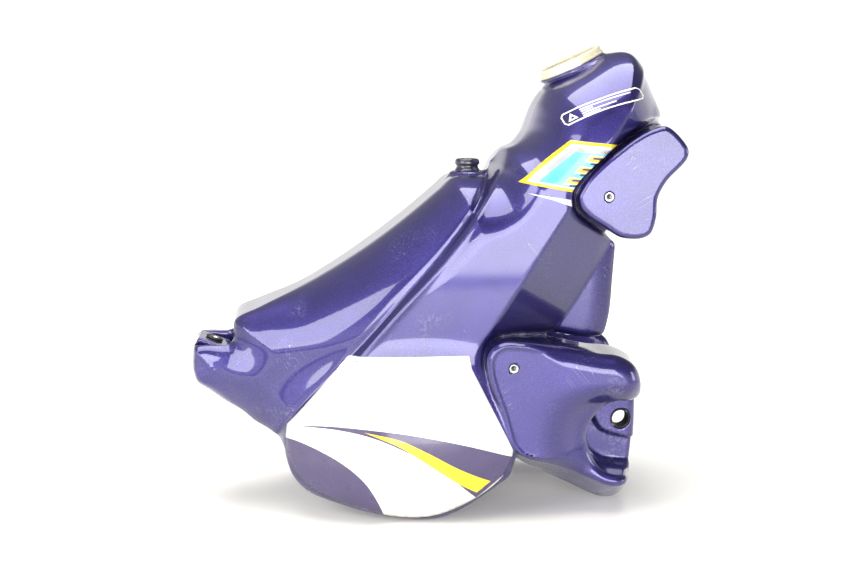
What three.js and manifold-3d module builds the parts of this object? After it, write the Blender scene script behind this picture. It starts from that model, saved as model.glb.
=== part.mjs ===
// Off-road motorcycle fuel tank: a hollow saddle-shaped plastic shell with threaded inserts,
// rubber bushes, a seat hook, a rear mount, a fuel tap and its decals.
// Millimetres. +X points to the front of the motorcycle, +Z is up, the right side faces -Y.
// The tank stands on its two wings and its two front lobes, on the plane Z = 0.
// Y = 0 is its plane of symmetry.

import * as THREE from 'three';
import { LoftGeometry } from 'three/addons/geometries/LoftGeometry.js';
import { mergeVertices } from 'three/addons/utils/BufferGeometryUtils.js';
import Module from 'manifold-3d';

const wasm = await Module();
wasm.setup();

const { degToRad, lerp, smoothstep } = THREE.MathUtils;

// ---------------------------------------------------------------- driving dimensions

const gap = 0.3; // clearance between pieces that touch on the real tank
const wall = 3.5; // thickness of the moulded shell
const panelStep = 5; // height of the side panels over the seat area
const tailWall = 6; // extra thickness of the tail's underside on the plane of symmetry
const edgeThickness = 14; // least distance from the lowest line of an edge out to its side
const innerRadius = 16; // rounding of the lower edges on their inner side
const frontFlat = 1.5; // length of the plain band that closes each half at its front
const centreOverlap = 1; // how far each half passes the plane of symmetry before they are joined

const kneeHalfWidth = 110; // half width of the side panels between the rider's knees
const wingBulge = 30; // how far each wing swells past the knee panel
const tailNarrowing = 0.42; // part of the half width lost at the tail end
const shoulderNarrowing = 20; // half width lost from the seat hook up to the filler neck
const frontSlope = 0.85; // half width lost for each millimetre in front of the crease
const leastHalfWidth = 56; // half width of the shell along its front edge

const motorcycleTilt = degToRad(30); // the motorcycle's level line in this resting pose
const backboneHalfWidth = 42; // tunnel over the frame's backbone
const backboneCeiling = 188; // height of the tunnel above the origin, square to the level line
const engineHalfWidth = 72; // gap between the wings, over the engine
const engineCeiling = 118;
const engineFront = 105;

const neckTop = { x: 138, z: 434.5 };
const neckLean = degToRad(25); // towards the seat
const neckBore = 28; // radius
const neckRoot = 32.5; // radius between the threads
const threadRadius = 35;
const threadPitch = 6.5;
const neckDepth = 62; // length of the neck tube, from its rim down into the shell

const padFace = 108; // half width over the shroud pads beside the filler neck
const padInner = 50;
const lobeInner = 36; // inner face of the front lobes
const lobeFace = 126; // outer face of the front lobes
const lugFace = 62; // outer face of the front mounting lugs
const lugCentre = { x: 181.9, z: 83.9 };
const lugBore = 9.7; // radius
const pocketFloor = 44; // bottom of the pocket below the lug

const upperInsert = { x: 157.4, z: 305.1, face: padFace };
const lowerInsert = { x: 66.1, z: 147.5, face: lobeFace };
const insertSeats = [upperInsert, lowerInsert];
const insertRadius = 4.4;
const insertBore = 2.5; // for an M6 thread
const insertLength = 12;

const seatPost = { x: 37, z: 323.5, radius: 17 }; // flat round top that carries the seat hook
const seatInsertRadius = 5.5;
const seatInsertLength = 16;
const seatBoltRadius = 3; // M6

// Rear mount: the upper face's ends, and how far its bore lies from the first end.
const tongue = { from: [-229, 165], to: [-205.6, 156], thickness: 7, halfWidth: 24, bore: 15.6 };
const rearBore = 7; // radius

const tapSeat = { x: 63, y: 100, z: 33 }; // middle of the flat face that the fuel tap bolts to
const tapBossLength = 58;
const tapBossWidth = 26;
const tapScrewSpacing = 38;
const tapScrewRadius = 2.5; // M5
const tapBore = 9.5; // radius of the hole that the strainer passes through
const tapFlange = { length: 50, width: 24, thickness: 5 };
const tapBlock = { length: 25, width: 22, bottom: -28 };
const tapAxisHeight = -17; // lever axis below the flat face
const tapChamber = { radius: 8.5, floor: 3 };
const tapPlateScrew = { x: 9.6, z: 7.2, radius: 1.5 }; // M3, from the lever's axis
const tapLeverLength = 18;

const decalThickness = 0.6;

// ---------------------------------------------------------------- outline of the tank, seen from the right

// The upper and lower edges run side by side from the tail to the front: a rung joins each
// point of one to the same point of the other.
const upperEdge = [
  [-238, 146], [-233, 160], [-219, 163], [-206, 163], [-196, 165], [-193, 184], [-169, 196],
  [-129, 214], [-85, 240], [-50, 264], [-20, 287], [4, 307], [20, 320], [53, 323], [60, 341],
  [82, 367], [100, 398], [115, 409], [146, 425], [176, 440], [198, 443], [218, 425], [233, 400],
  [237.5, 376], [237.5, 358], [231, 344],
];
const lowerEdge = [
  [-238, 138], [-233, 128], [-218, 117], [-204, 108], [-190, 100], [-176, 92], [-158, 84],
  [-147, 70], [-143, 44], [-128, 27], [-92, 14], [-45, 3], [-15, 0], [2, 2], [24, 12], [50, 30],
  [78, 51], [104, 78], [134, 112], [160, 146], [171, 180], [175, 222], [177, 250], [178, 260],
  [179, 262], [180, 263],
];
// Distance of the lower edge's lowest line from the plane of symmetry, at the same points.
const lowerEdgeSide = [
  0, 0, 12, 26, 38, 48, 62, 84, 104, 110, 112, 112, 112, 112, 112, 112, 110, 100, 85, 70, 62,
  60, 60, 60, 62, 66,
];
const ridge = [
  [-152, 76], [-145, 86], [-127, 108], [-85, 152], [-38, 205], [-1, 246], [34, 292], [59, 330],
  [72, 359], [78, 392],
];
const crease = [[-22, 73], [42, 173], [80, 231], [121, 296], [230, 466]];
const shroudPad = [
  [130, 297], [129, 306], [133, 314], [139, 323], [158, 341], [185, 361], [200, 368], [212, 370],
  [229, 355], [233, 347], [231, 339], [214, 321], [208, 312], [204, 302], [203, 284], [198, 270],
  [191, 266], [182, 265], [169, 267], [153, 277], [138, 287],
];
// Front lobe, as it is at its inner face. Its lower points rise towards the outer face.
const lobe = [
  [41, 149], [42, 160], [47, 167], [55, 172], [71, 172], [119, 164], [148, 158], [173, 155],
  [190, 146], [196, 134], [197, 95], [197, 60], [196, 20], [192, 6], [184, 0], [164, 0], [149, 3],
  [127, 11], [106, 18], [88, 24], [74, 40], [64, 70], [54, 105], [45, 130],
];
const aboveLobe = [[66, 150], [120, 150], [120, 192], [66, 192]]; // corner that the hollow stays out of
const lobeLift = 0.45; // rise of its lower points for each millimetre outwards
const lugPocket = [
  [215, 112], [184, 110], [170, 110], [158, 106], [149, 97], [142, 86], [140, 76], [143, 64],
  [148, 53], [156, 43], [168, 39], [215, 41],
];
const deepPocket = [
  [215, 58], [196, 63], [168, 70], [160, 76], [152, 90], [147, 84], [144, 74], [147, 64],
  [152, 54], [160, 46], [170, 42], [215, 44],
];
const wingDecal = [
  [-86, 158], [26, 158], [28, 146], [66, 70], [58, 46], [27, 24], [-12, 8], [-56, 18], [-122, 42],
  [-138, 64], [-138, 88],
];
const badge = [[72, 320], [121, 358], [152, 354], [122, 311]];
const warningLabel = [[110, 381], [149, 397], [184, 407], [190, 396], [153, 385], [117, 370]];

// ---------------------------------------------------------------- shared shape tools

/** Turns a closed geometry into a solid that can be joined and cut. */
function solidOf(geometry) {
  const bare = new THREE.BufferGeometry().copy(geometry);
  bare.deleteAttribute('normal');
  bare.deleteAttribute('uv');
  const welded = mergeVertices(bare, 1e-4);
  const corners = welded.index.array;
  const kept = [];
  for (let i = 0; i < corners.length; i += 3) {
    const [a, b, c] = [corners[i], corners[i + 1], corners[i + 2]];
    const collapsed = a === b || b === c || c === a;
    if (!collapsed) kept.push(a, b, c);
  }
  const vertProperties = new Float32Array(welded.attributes.position.array);
  const triVerts = new Uint32Array(kept);
  return new wasm.Manifold(new wasm.Mesh({ numProp: 3, vertProperties, triVerts }));
}

/** Turns a solid back into a geometry. */
function geometryOf(solid) {
  const mesh = solid.getMesh();
  const geometry = new THREE.BufferGeometry();
  geometry.setAttribute('position', new THREE.BufferAttribute(mesh.vertProperties, 3));
  geometry.setIndex(new THREE.BufferAttribute(mesh.triVerts, 1));
  geometry.computeVertexNormals();
  return geometry;
}

/** The mirror image of a closed geometry, on the left side of the tank. */
function mirrored(geometry) {
  const copy = geometry.index ? new THREE.BufferGeometry().copy(geometry) : mergeVertices(geometry);
  copy.scale(1, -1, 1);
  const corners = copy.index.array;
  for (let i = 0; i < corners.length; i += 3) {
    const second = corners[i + 1];
    corners[i + 1] = corners[i + 2];
    corners[i + 2] = second;
  }
  return copy;
}

/** A closed side-view outline as a prism between two distances from the plane of symmetry. */
function acrossPrism(outline, from, to) {
  const shape = new THREE.Shape(outline.map(([x, z]) => new THREE.Vector2(x, z)));
  const geometry = new THREE.ExtrudeGeometry(shape, { depth: to - from, bevelEnabled: false });
  geometry.translate(0, 0, from);
  geometry.rotateX(Math.PI / 2);
  return geometry;
}

/** A cylinder along one direction, with its first end at a point. */
function rod(start, direction, radius, length, sides = 20) {
  const geometry = new THREE.CylinderGeometry(radius, radius, length, sides);
  geometry.translate(0, length / 2, 0);
  const turn = new THREE.Quaternion().setFromUnitVectors(new THREE.Vector3(0, 1, 0), direction);
  geometry.applyQuaternion(turn);
  geometry.translate(start.x, start.y, start.z);
  return geometry;
}

/** A turned piece: its profile is a closed list of [radius, height], its axis is +Z. */
function turned(profile, sides = 16) {
  const points = profile.map(([radius, height]) => new THREE.Vector2(radius, height));
  points.push(points[0].clone());
  const geometry = new THREE.LatheGeometry(points, sides);
  geometry.rotateX(Math.PI / 2);
  return geometry;
}

/** A ring with square edges, standing on Z = 0. */
function ring(outer, inner, height, sides = 20) {
  return turned([[inner, 0], [outer, 0], [outer, height], [inner, height]], sides);
}

/** A smooth closed outline through a few points. */
function smoothLoop(points, count) {
  const path = new THREE.CatmullRomCurve3(points.map(([x, z]) => new THREE.Vector3(x, 0, z)), true);
  return path.getPoints(count).slice(0, count).map((p) => [p.x, p.z]);
}

/** Distance from a line of points, positive on its left when it is followed from its start. */
function signedDistance(line, x, z) {
  let best = Infinity;
  let side = 1;
  for (let i = 0; i + 1 < line.length; i++) {
    const [ax, az] = line[i];
    const [bx, bz] = line[i + 1];
    const [ux, uz] = [bx - ax, bz - az];
    const along = ((x - ax) * ux + (z - az) * uz) / (ux * ux + uz * uz);
    const held = Math.min(1, Math.max(0, along));
    const distance = Math.hypot(x - ax - held * ux, z - az - held * uz);
    if (distance < best) {
      best = distance;
      side = Math.sign(ux * (z - az) - uz * (x - ax));
    }
  }
  return best * side;
}

const railCurve = (points) =>
  new THREE.CatmullRomCurve3(points.map(([x, z]) => new THREE.Vector3(x, 0, z)), false);
const upperRail = railCurve(upperEdge);
const lowerRail = railCurve(lowerEdge);

/** A value given at every rail point, read between two of them. */
function atStation(values, station) {
  const before = Math.min(values.length - 2, Math.floor(station));
  return lerp(values[before], values[before + 1], station - before);
}

/** Quarter-round edge: 0 at the edge, 1 from one radius inwards. */
function roundEdge(distance, radius) {
  const rest = 1 - Math.min(1, Math.max(0, distance / radius));
  return Math.sqrt(1 - rest * rest);
}

// ---------------------------------------------------------------- half width of the tank

/** Half width of the outer skin at a point of the side view. */
function halfWidth(x, z) {
  const fromWing = Math.hypot((x + 20) / 165, (z - 72) / 105);
  const bulge = wingBulge * Math.max(0, 1 - fromWing * fromWing) ** 2;
  const tail = 1 - tailNarrowing * smoothstep(-x, 40, 240);
  const shoulder = shoulderNarrowing * smoothstep(z, 330, 445);
  const past = Math.max(0, -signedDistance(crease, x, z));
  const front = frontSlope * past * Math.max(smoothstep(z, 150, 176), smoothstep(x, 66, 92));
  return Math.max(leastHalfWidth * tail, kneeHalfWidth * tail + bulge - shoulder - front);
}

/**
 * Right half of the tank's body as one loft of rungs from the upper to the lower edge.
 * inset moves both edges inwards, lowInset does so by an amount that changes from place to place,
 * and centreInset moves the underside on the plane of symmetry. widthAt gives the half width at a
 * point of the side view.
 */
function halfBody({ inset = 0, centreInset = 0, rungs = 29, across = 10, lowInset = () => 0, widthAt }) {
  const firstStation = inset > 0 ? 2.3 : 0;
  const lastStation = upperEdge.length - (inset > 0 ? 3 : 1);
  const sections = [];
  for (let i = 0; i <= rungs; i++) {
    const station = lerp(firstStation, lastStation, i / rungs);
    const along = station / (upperEdge.length - 1);
    const top = upperRail.getPoint(along);
    const bottom = lowerRail.getPoint(along);
    const topRun = upperRail.getTangent(along);
    const bottomRun = lowerRail.getTangent(along);
    top.add(new THREE.Vector3(topRun.z, 0, -topRun.x).multiplyScalar(inset + lowInset(top)));
    bottom.add(new THREE.Vector3(-bottomRun.z, 0, bottomRun.x).multiplyScalar(inset + lowInset(bottom)));
    const length = top.distanceTo(bottom);
    const roundness = lerp(40, 62, smoothstep(station, 4, 8)) - 16 * smoothstep(station, 12, 16);
    const topRadius = Math.min(roundness, length) - inset;
    const bottomRadius = Math.min(lerp(42, 30, smoothstep(station, 5, 9)), length * 0.7) - inset;
    const side = atStation(lowerEdgeSide, station);
    const outer = [];
    const inner = [];
    for (let j = 0; j <= across; j++) {
      const part = (1 - Math.cos(Math.PI * j / across)) / 2;
      const point = top.clone().lerp(bottom, part);
      const width = widthAt(point.x, point.z);
      const upper = roundEdge(part * length, Math.max(4, topRadius));
      const lower = roundEdge((1 - part) * length, Math.max(4, bottomRadius));
      const middle = Math.min(side, width - edgeThickness);
      const reach = Math.min(width * upper, middle + (width - middle) * lower);
      outer.push(new THREE.Vector3(point.x, -reach, point.z));
      if (j % 2 === 0 && j > 0 && j < across) {
        const innerLower = roundEdge((1 - part) * length - centreInset, Math.max(4, innerRadius - inset));
        const opening = middle * (1 - innerLower) - centreOverlap * Math.min(upper, innerLower);
        inner.unshift(new THREE.Vector3(point.x, -opening, point.z));
      }
    }
    sections.push([...outer, ...inner]);
  }
  const rung = upperRail.getPoint(lastStation / (upperEdge.length - 1))
    .sub(lowerRail.getPoint(lastStation / (upperEdge.length - 1))).normalize();
  const frontwards = new THREE.Vector3(rung.z, 0, -rung.x);
  sections.push(sections.at(-1).map((p) => p.clone().addScaledVector(frontwards, frontFlat)));
  return new LoftGeometry(sections, { capStart: true, capEnd: true });
}

/** Both halves of a right-hand geometry, joined. */
function bothSides(geometry) {
  return solidOf(geometry).add(solidOf(mirrored(geometry)));
}

// ---------------------------------------------------------------- directions

const level = new THREE.Vector3(Math.cos(motorcycleTilt), 0, Math.sin(motorcycleTilt));
const plumb = new THREE.Vector3(-Math.sin(motorcycleTilt), 0, Math.cos(motorcycleTilt));
const neckAxis = new THREE.Vector3(-Math.sin(neckLean), 0, Math.cos(neckLean));
const toRight = new THREE.Vector3(0, -1, 0);
const upwards = new THREE.Vector3(0, 0, 1);
const tapFrame = new THREE.Matrix4().makeBasis(level, new THREE.Vector3(0, 1, 0), plumb)
  .setPosition(tapSeat.x, tapSeat.y, tapSeat.z);

/** Sets a piece made along +Z onto a point, with its axis along a direction. */
function standOn(geometry, point, direction) {
  const turn = new THREE.Quaternion().setFromUnitVectors(upwards, direction);
  geometry.applyQuaternion(turn);
  geometry.translate(point.x, point.y ?? 0, point.z);
  return geometry;
}

// ---------------------------------------------------------------- rear mount

const tongueRun = new THREE.Vector3(tongue.to[0] - tongue.from[0], 0, tongue.to[1] - tongue.from[1]);
tongueRun.normalize();
const tongueUp = new THREE.Vector3(-tongueRun.z, 0, tongueRun.x);
const rearMount = new THREE.Vector3(tongue.from[0], 0, tongue.from[1])
  .addScaledVector(tongueRun, tongue.bore);
const tailPocket = [[-226.5, 140], [-196, 139], [-196, 175], [-230, 175]];
const tailPocketHalfWidth = 44;

function tongueOutline() {
  const top = new THREE.Vector3(tongue.from[0], 0, tongue.from[1]);
  const end = new THREE.Vector3(tongue.to[0], 0, tongue.to[1]);
  const corners = [
    top,
    top.clone().addScaledVector(tongueUp, -tongue.thickness),
    end.clone().addScaledVector(tongueUp, -tongue.thickness),
    end,
  ];
  return corners.map((p) => [p.x, p.z]);
}

// ---------------------------------------------------------------- shell

/** Front lobe: outlines stacked from its inner to its outer face. */
function lobeSolid(inset) {
  const levels = [
    [lobeInner + inset, 1], [lobeInner + inset + 6, 1], [72, 1], [104, 1], [116 - inset, 0.97],
    [123 - inset, 0.92], [lobeFace - inset, 0.85],
  ];
  const outline = smoothLoop(lobe, inset > 0 ? 24 : 34);
  const centre = { x: 122, z: 92 };
  const sections = levels.map(([side, size]) => outline.map(([x, z]) => {
    const low = 1 - smoothstep(z, 15, 80);
    const lifted = Math.max(0, z) + lobeLift * Math.max(0, side - lobeInner - 8) * low;
    const reach = Math.hypot(x - centre.x, lifted - centre.z);
    const held = size - inset / reach;
    return new THREE.Vector3(lerp(centre.x, x, held), -side, lerp(centre.z, lifted, held));
  }));
  return new LoftGeometry(sections.map((s) => s.reverse()), { capStart: true, capEnd: true });
}

/** Outline moved along its own normals, outwards for a positive distance. */
function offsetOutline(outline, distance) {
  const count = outline.length;
  const clockwise = THREE.ShapeUtils.isClockWise(outline.map(([x, z]) => ({ x, y: z })));
  const out = clockwise ? -distance : distance;
  return outline.map(([x, z], i) => {
    const [ax, az] = outline[(i + count - 1) % count];
    const [bx, bz] = outline[(i + 1) % count];
    const length = Math.hypot(bx - ax, bz - az);
    return [x + out * (bz - az) / length, z - out * (bx - ax) / length];
  });
}

/** Area that the raised side panels cover in the side view. */
function panelOutline() {
  const lobeArc = [[92, 66], [82, 66], [65, 99], [53, 121], [45, 138], [40, 150], [42, 162], [50, 171],
    [72, 174], [120, 169], [170, 160], [260, 158]];
  const padArc = [[260, 262], [172, 262], [150, 274], [129, 290], [124, 306], [133, 322], [158, 345],
    [185, 365], [204, 373], [218, 374], [280, 374]];
  return [
    ...ridge, [84, 480], [280, 480], ...[...padArc].reverse(), ...[...lobeArc].reverse(),
    [110, 40], [60, -20], [-170, -20],
  ];
}

/** Cutter of the tunnel over the frame's backbone; wider adds to it on every side. */
function backboneTunnel(wider) {
  const half = backboneHalfWidth + wider;
  const top = backboneCeiling + wider;
  const corner = 20 + wider;
  const arch = new THREE.Shape();
  arch.moveTo(-half, -300);
  arch.lineTo(half, -300);
  arch.lineTo(half, top - corner);
  arch.absarc(half - corner, top - corner, corner, 0, Math.PI / 2);
  arch.lineTo(-half + corner, top);
  arch.absarc(-half + corner, top - corner, corner, Math.PI / 2, Math.PI);
  const geometry = new THREE.ExtrudeGeometry(arch, { depth: 900, bevelEnabled: false, curveSegments: 4 });
  geometry.translate(0, 0, -400);
  geometry.applyMatrix4(new THREE.Matrix4().makeBasis(new THREE.Vector3(0, 1, 0), plumb, level));
  return geometry;
}

/** Cutter of the gap between the wings, over the engine. */
function engineGap(wider) {
  const front = engineFront + wider;
  const top = engineCeiling + wider;
  const corner = 30 + wider;
  const profile = new THREE.Shape();
  profile.moveTo(-400, -300);
  profile.lineTo(front, -300);
  profile.lineTo(front, top - corner);
  profile.absarc(front - corner, top - corner, corner, 0, Math.PI / 2);
  profile.lineTo(-400, top);
  const half = engineHalfWidth + wider;
  const geometry = new THREE.ExtrudeGeometry(profile,
    { depth: 2 * half, bevelEnabled: false, curveSegments: 5 });
  geometry.translate(0, 0, -half);
  const fromLeft = new THREE.Vector3(0, -1, 0);
  geometry.applyMatrix4(new THREE.Matrix4().makeBasis(level, plumb, fromLeft));
  return geometry;
}

/** Filler neck with its threads. */
function neckTube() {
  const profile = [[0, -neckDepth], [neckRoot + 6, -neckDepth], [neckRoot + 6, -26], [neckRoot, -22]];
  for (let turn = 0; turn < 2; turn++) {
    const foot = -20 + turn * threadPitch;
    profile.push([neckRoot, foot], [threadRadius, foot + 2], [threadRadius, foot + 3.4],
      [neckRoot, foot + 5]);
  }
  profile.push([neckRoot, -1], [neckRoot - 1, 0], [0, 0]);
  const points = profile.map(([radius, height]) => new THREE.Vector2(radius, height));
  const geometry = new THREE.LatheGeometry(points, 28);
  geometry.rotateX(Math.PI / 2);
  return standOn(geometry, neckTop, neckAxis);
}

/** Solid block in the left wing's lower edge that carries the fuel tap. */
function tapBoss(wider, height) {
  const half = tapBossWidth / 2 + wider;
  const reach = tapBossLength / 2 - tapBossWidth / 2;
  const shape = new THREE.Shape();
  shape.absarc(reach, 0, half, -Math.PI / 2, Math.PI / 2);
  shape.absarc(-reach, 0, half, Math.PI / 2, 1.5 * Math.PI);
  const geometry = new THREE.ExtrudeGeometry(shape,
    { depth: height, bevelEnabled: false, curveSegments: 8 });
  geometry.applyMatrix4(tapFrame);
  return geometry;
}

/** Everything outside the shell's hollow, before the tunnels and holes are cut. */
function outerBody() {
  const core = bothSides(halfBody({
    lowInset: (p) => 5 * smoothstep(p.x, 62, 90) + 5 * smoothstep(p.x, -150, -138) * (p.z < 110 ? 1 : 0),
    widthAt: (x, z) => halfWidth(x, z) - panelStep,
  }));
  const full = bothSides(halfBody({ widthAt: halfWidth }));
  const panels = full.intersect(solidOf(acrossPrism(panelOutline(), -200, 200)));
  const pad = bothSides(acrossPrism(shroudPad, padInner, padFace));
  const lobes = bothSides(lobeSolid(0));
  const post = solidOf(rod({ x: seatPost.x, y: 0, z: seatPost.z - 40 }, upwards, seatPost.radius, 40));
  return core.add(panels).add(pad).add(lobes).add(solidOf(neckTube())).add(post)
    .add(solidOf(tapBoss(0, 24)));
}

/** The hollow for the fuel, walled off from every hole in the outer skin. */
function hollow() {
  const innerWidth = (x, z) => halfWidth(x, z) - wall - panelStep - 1;
  const body = bothSides(halfBody({
    inset: wall + panelStep + 1, rungs: 22, across: 9, centreInset: tailWall, widthAt: innerWidth,
  }));
  const padOutline = offsetOutline(shroudPad, -wall);
  const padHollow = bothSides(acrossPrism(padOutline, padInner + wall, padFace - wall));
  const besideTailPocket = tailPocketHalfWidth + wall;
  const keepClear = [
    backboneTunnel(wall),
    engineGap(wall),
    acrossPrism(offsetOutline(lugPocket, wall), -200, 200),
    rod({ x: seatPost.x, y: 0, z: seatPost.z - 24 }, upwards, seatInsertRadius + wall, 40),
    acrossPrism([[-240, 128], [-190, 128], [-186, 190], [-240, 190]],
      -besideTailPocket, besideTailPocket),
    tapBoss(wall, 22),
  ];
  let space = body.subtract(bothSides(acrossPrism(aboveLobe, 76, 140)))
    .add(padHollow)
    .add(bothSides(lobeSolid(wall + 1.5)));
  for (const cutter of keepClear) space = space.subtract(solidOf(cutter));
  for (const seat of insertSeats) {
    for (const side of [-1, 1]) {
      const start = { x: seat.x, y: side * (seat.face - insertLength - 6), z: seat.z };
      const outwards = new THREE.Vector3(0, side, 0);
      space = space.subtract(solidOf(rod(start, outwards, insertRadius + wall, 40, 10)));
    }
  }
  return space;
}

/** Every hole and pocket that a piece sits in or a bolt passes through. */
function holes() {
  const cuts = [
    backboneTunnel(0),
    engineGap(0),
    standOn(turned([[0, -neckDepth - 30], [neckBore, -neckDepth - 30], [neckBore, 5], [0, 5]], 28),
      neckTop, neckAxis),
    acrossPrism(tailPocket, -tailPocketHalfWidth, tailPocketHalfWidth),
    rod({ x: lugCentre.x, y: 200, z: lugCentre.z }, toRight, lugBore, 400, 28),
    rod({ x: seatPost.x, y: 0, z: seatPost.z - seatInsertLength - 1 }, upwards,
      seatInsertRadius + gap, 40, 18),
    rod(new THREE.Vector3(0, 0, -1).applyMatrix4(tapFrame), plumb, tapBore, 60, 20),
  ];
  for (const side of [-1, 1]) {
    cuts.push(rod(new THREE.Vector3(side * tapScrewSpacing / 2, 0, -1).applyMatrix4(tapFrame), plumb,
      insertRadius + gap, insertLength + 4, 16));
    const outwards = new THREE.Vector3(0, side, 0);
    for (const seat of insertSeats) {
      const start = { x: seat.x, y: side * (seat.face - insertLength - 1), z: seat.z };
      cuts.push(rod(start, outwards, insertRadius + gap, 40, 16));
    }
  }
  return cuts;
}

function shellGeometry() {
  const pockets = [
    bothSides(acrossPrism(lugPocket, lugFace, 200)),
    bothSides(acrossPrism(deepPocket, pocketFloor, 200)),
  ];
  let shell = outerBody();
  for (const cut of [...pockets, ...holes().map(solidOf), hollow()]) shell = shell.subtract(cut);
  const tab = solidOf(acrossPrism(tongueOutline(), -tongue.halfWidth, tongue.halfWidth));
  const start = rearMount.clone().addScaledVector(tongueUp, -30);
  return geometryOf(shell.add(tab).subtract(solidOf(rod(start, tongueUp, rearBore, 60, 16))));
}

// ---------------------------------------------------------------- small turned pieces

/** Threaded brass insert along +Z, its outer face at Z = 0. */
function insert(outer, bore, length) {
  const groove = outer - 0.5;
  const middle = -length / 2;
  return turned([
    [bore, -length], [outer, -length], [outer, middle - 1], [groove, middle - 1],
    [groove, middle + 1], [outer, middle + 1], [outer, 0], [bore, 0],
  ], 14);
}

/** Screw along +Z: the head stands on Z = 0 and the shank hangs below it. */
function screw(shank, length, head, headHeight, recess) {
  return turned([
    [0, -length], [shank, -length], [shank, 0], [head, 0], [head, headHeight * 0.6],
    [head - 0.7, headHeight], [recess, headHeight], [recess, headHeight * 0.45], [0, headHeight * 0.45],
  ], 14);
}

/** Round-ended plate on Z = 0 with round holes given as [x, y, radius]. */
function plate(length, width, thickness, holesIn, endRadius = width / 2) {
  const shape = new THREE.Shape();
  const [halfLength, halfWidthOfPlate] = [length / 2 - endRadius, width / 2 - endRadius];
  shape.absarc(halfLength, halfWidthOfPlate, endRadius, 0, Math.PI / 2);
  shape.absarc(-halfLength, halfWidthOfPlate, endRadius, Math.PI / 2, Math.PI);
  shape.absarc(-halfLength, -halfWidthOfPlate, endRadius, Math.PI, 1.5 * Math.PI);
  shape.absarc(halfLength, -halfWidthOfPlate, endRadius, 1.5 * Math.PI, 2 * Math.PI);
  for (const [x, y, radius] of holesIn) {
    const hole = new THREE.Path();
    hole.absarc(x, y, radius, 0, 2 * Math.PI, true);
    shape.holes.push(hole);
  }
  return new THREE.ExtrudeGeometry(shape, { depth: thickness, bevelEnabled: false, curveSegments: 5 });
}

// ---------------------------------------------------------------- fuel tap, in its own frame
// Origin in the middle of the shell's flat tap face, +X forwards along the wing's lower edge,
// +Y outboard, +Z into the tank.

const outboard = new THREE.Vector3(0, 1, 0);
const forwards = new THREE.Vector3(1, 0, 0);
const tapScrewX = tapScrewSpacing / 2;
const gasketThickness = 1.2;
const flangeTop = -gap - gasketThickness - gap;
const flangeUnderside = flangeTop - tapFlange.thickness;
const standpipe = { outer: 3, bore: 2, socket: 4, length: 30 };

/** Turns a piece made along +Z so that it points outboard from the lever's axis at a given side. */
function onLeverAxis(geometry, side) {
  geometry.rotateX(-Math.PI / 2);
  geometry.translate(0, side, tapAxisHeight);
  return geometry;
}

function tapBodyGeometry() {
  const blockTop = flangeUnderside + 2;
  const block = new THREE.BoxGeometry(tapBlock.length, tapBlock.width, blockTop - tapBlock.bottom);
  block.translate(0, 0, (blockTop + tapBlock.bottom) / 2);
  const flange = plate(tapFlange.length, tapFlange.width, tapFlange.thickness,
    [[-tapScrewX, 0, tapScrewRadius + gap], [tapScrewX, 0, tapScrewRadius + gap]]);
  flange.translate(0, 0, flangeUnderside);
  const outletHeight = tapAxisHeight - 4;
  const spigotEnd = tapBlock.length / 2 + 20;
  const spigot = turned([[0, 0], [4, 0], [4, spigotEnd - 6], [4.6, spigotEnd - 4.5], [3.6, spigotEnd],
    [0, spigotEnd]]);
  standOn(spigot, { x: 0, y: -3, z: outletHeight }, forwards);
  const cuts = [
    rod({ x: 0, y: 0, z: flangeTop - standpipe.socket }, upwards, standpipe.outer + gap, 20, 14),
    rod({ x: 0, y: 0, z: tapAxisHeight + 4 }, upwards, 1.8, 30, 10),
    rod({ x: 6, y: 0, z: tapAxisHeight + 2 }, upwards, 1.5, 30, 10),
    rod({ x: 0, y: tapChamber.floor, z: tapAxisHeight }, outboard, tapChamber.radius, 30, 20),
    rod({ x: 0, y: -3, z: outletHeight }, forwards, 2.5, 60, 12),
    rod({ x: 0, y: -3, z: outletHeight }, outboard, 1.8, 12, 10),
    rod({ x: 0, y: -1.5, z: tapAxisHeight + 5 }, outboard, 1.8, 12, 10),
  ];
  for (const side of [-1, 1]) {
    const start = { x: side * tapPlateScrew.x, y: 4, z: tapAxisHeight + side * tapPlateScrew.z };
    cuts.push(rod(start, outboard, tapPlateScrew.radius + gap, 20, 10));
  }
  let body = solidOf(block).add(solidOf(flange)).add(solidOf(spigot));
  for (const cut of cuts) body = body.subtract(solidOf(cut));
  return geometryOf(body);
}

const sealThickness = 2.5;
const discSide = tapChamber.floor + gap + sealThickness + gap;
const discThickness = 3.4;
const coverSide = tapBlock.width / 2 + gap;
const coverThickness = 1.2;
const handleSide = coverSide + coverThickness + gap + 2.2;

/** Lever: a disc on the seal, a round shank through the cover plate and a flat handle. */
function tapLeverGeometry() {
  const discRadius = tapChamber.radius - gap;
  const shankEnd = handleSide - discSide + 1;
  const disc = onLeverAxis(turned([
    [0, 0], [discRadius, 0], [discRadius, discThickness], [4.4, discThickness], [4.4, shankEnd],
    [0, shankEnd],
  ]), discSide);
  const outline = new THREE.Shape();
  outline.absarc(0, 0, 6.5, -Math.PI * 0.38, Math.PI * 0.38);
  outline.absarc(-tapLeverLength + 3.5, 0, 3.5, Math.PI * 0.55, Math.PI * 1.45);
  const handle = new THREE.ExtrudeGeometry(outline, {
    depth: 2.8, bevelEnabled: true, bevelSize: 0.6, bevelThickness: 0.6, bevelOffset: -0.6,
    bevelSegments: 1, curveSegments: 10,
  });
  handle.translate(0, 0, 0.6);
  handle.rotateX(-Math.PI / 2);
  handle.translate(0, handleSide, tapAxisHeight);
  const thumbRib = new THREE.BoxGeometry(tapLeverLength - 6, 3, 2.4);
  thumbRib.translate(-(tapLeverLength - 6) / 2 - 2, handleSide + 4.4, tapAxisHeight);
  return geometryOf(solidOf(disc).add(solidOf(handle)).add(solidOf(thumbRib)));
}

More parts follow.
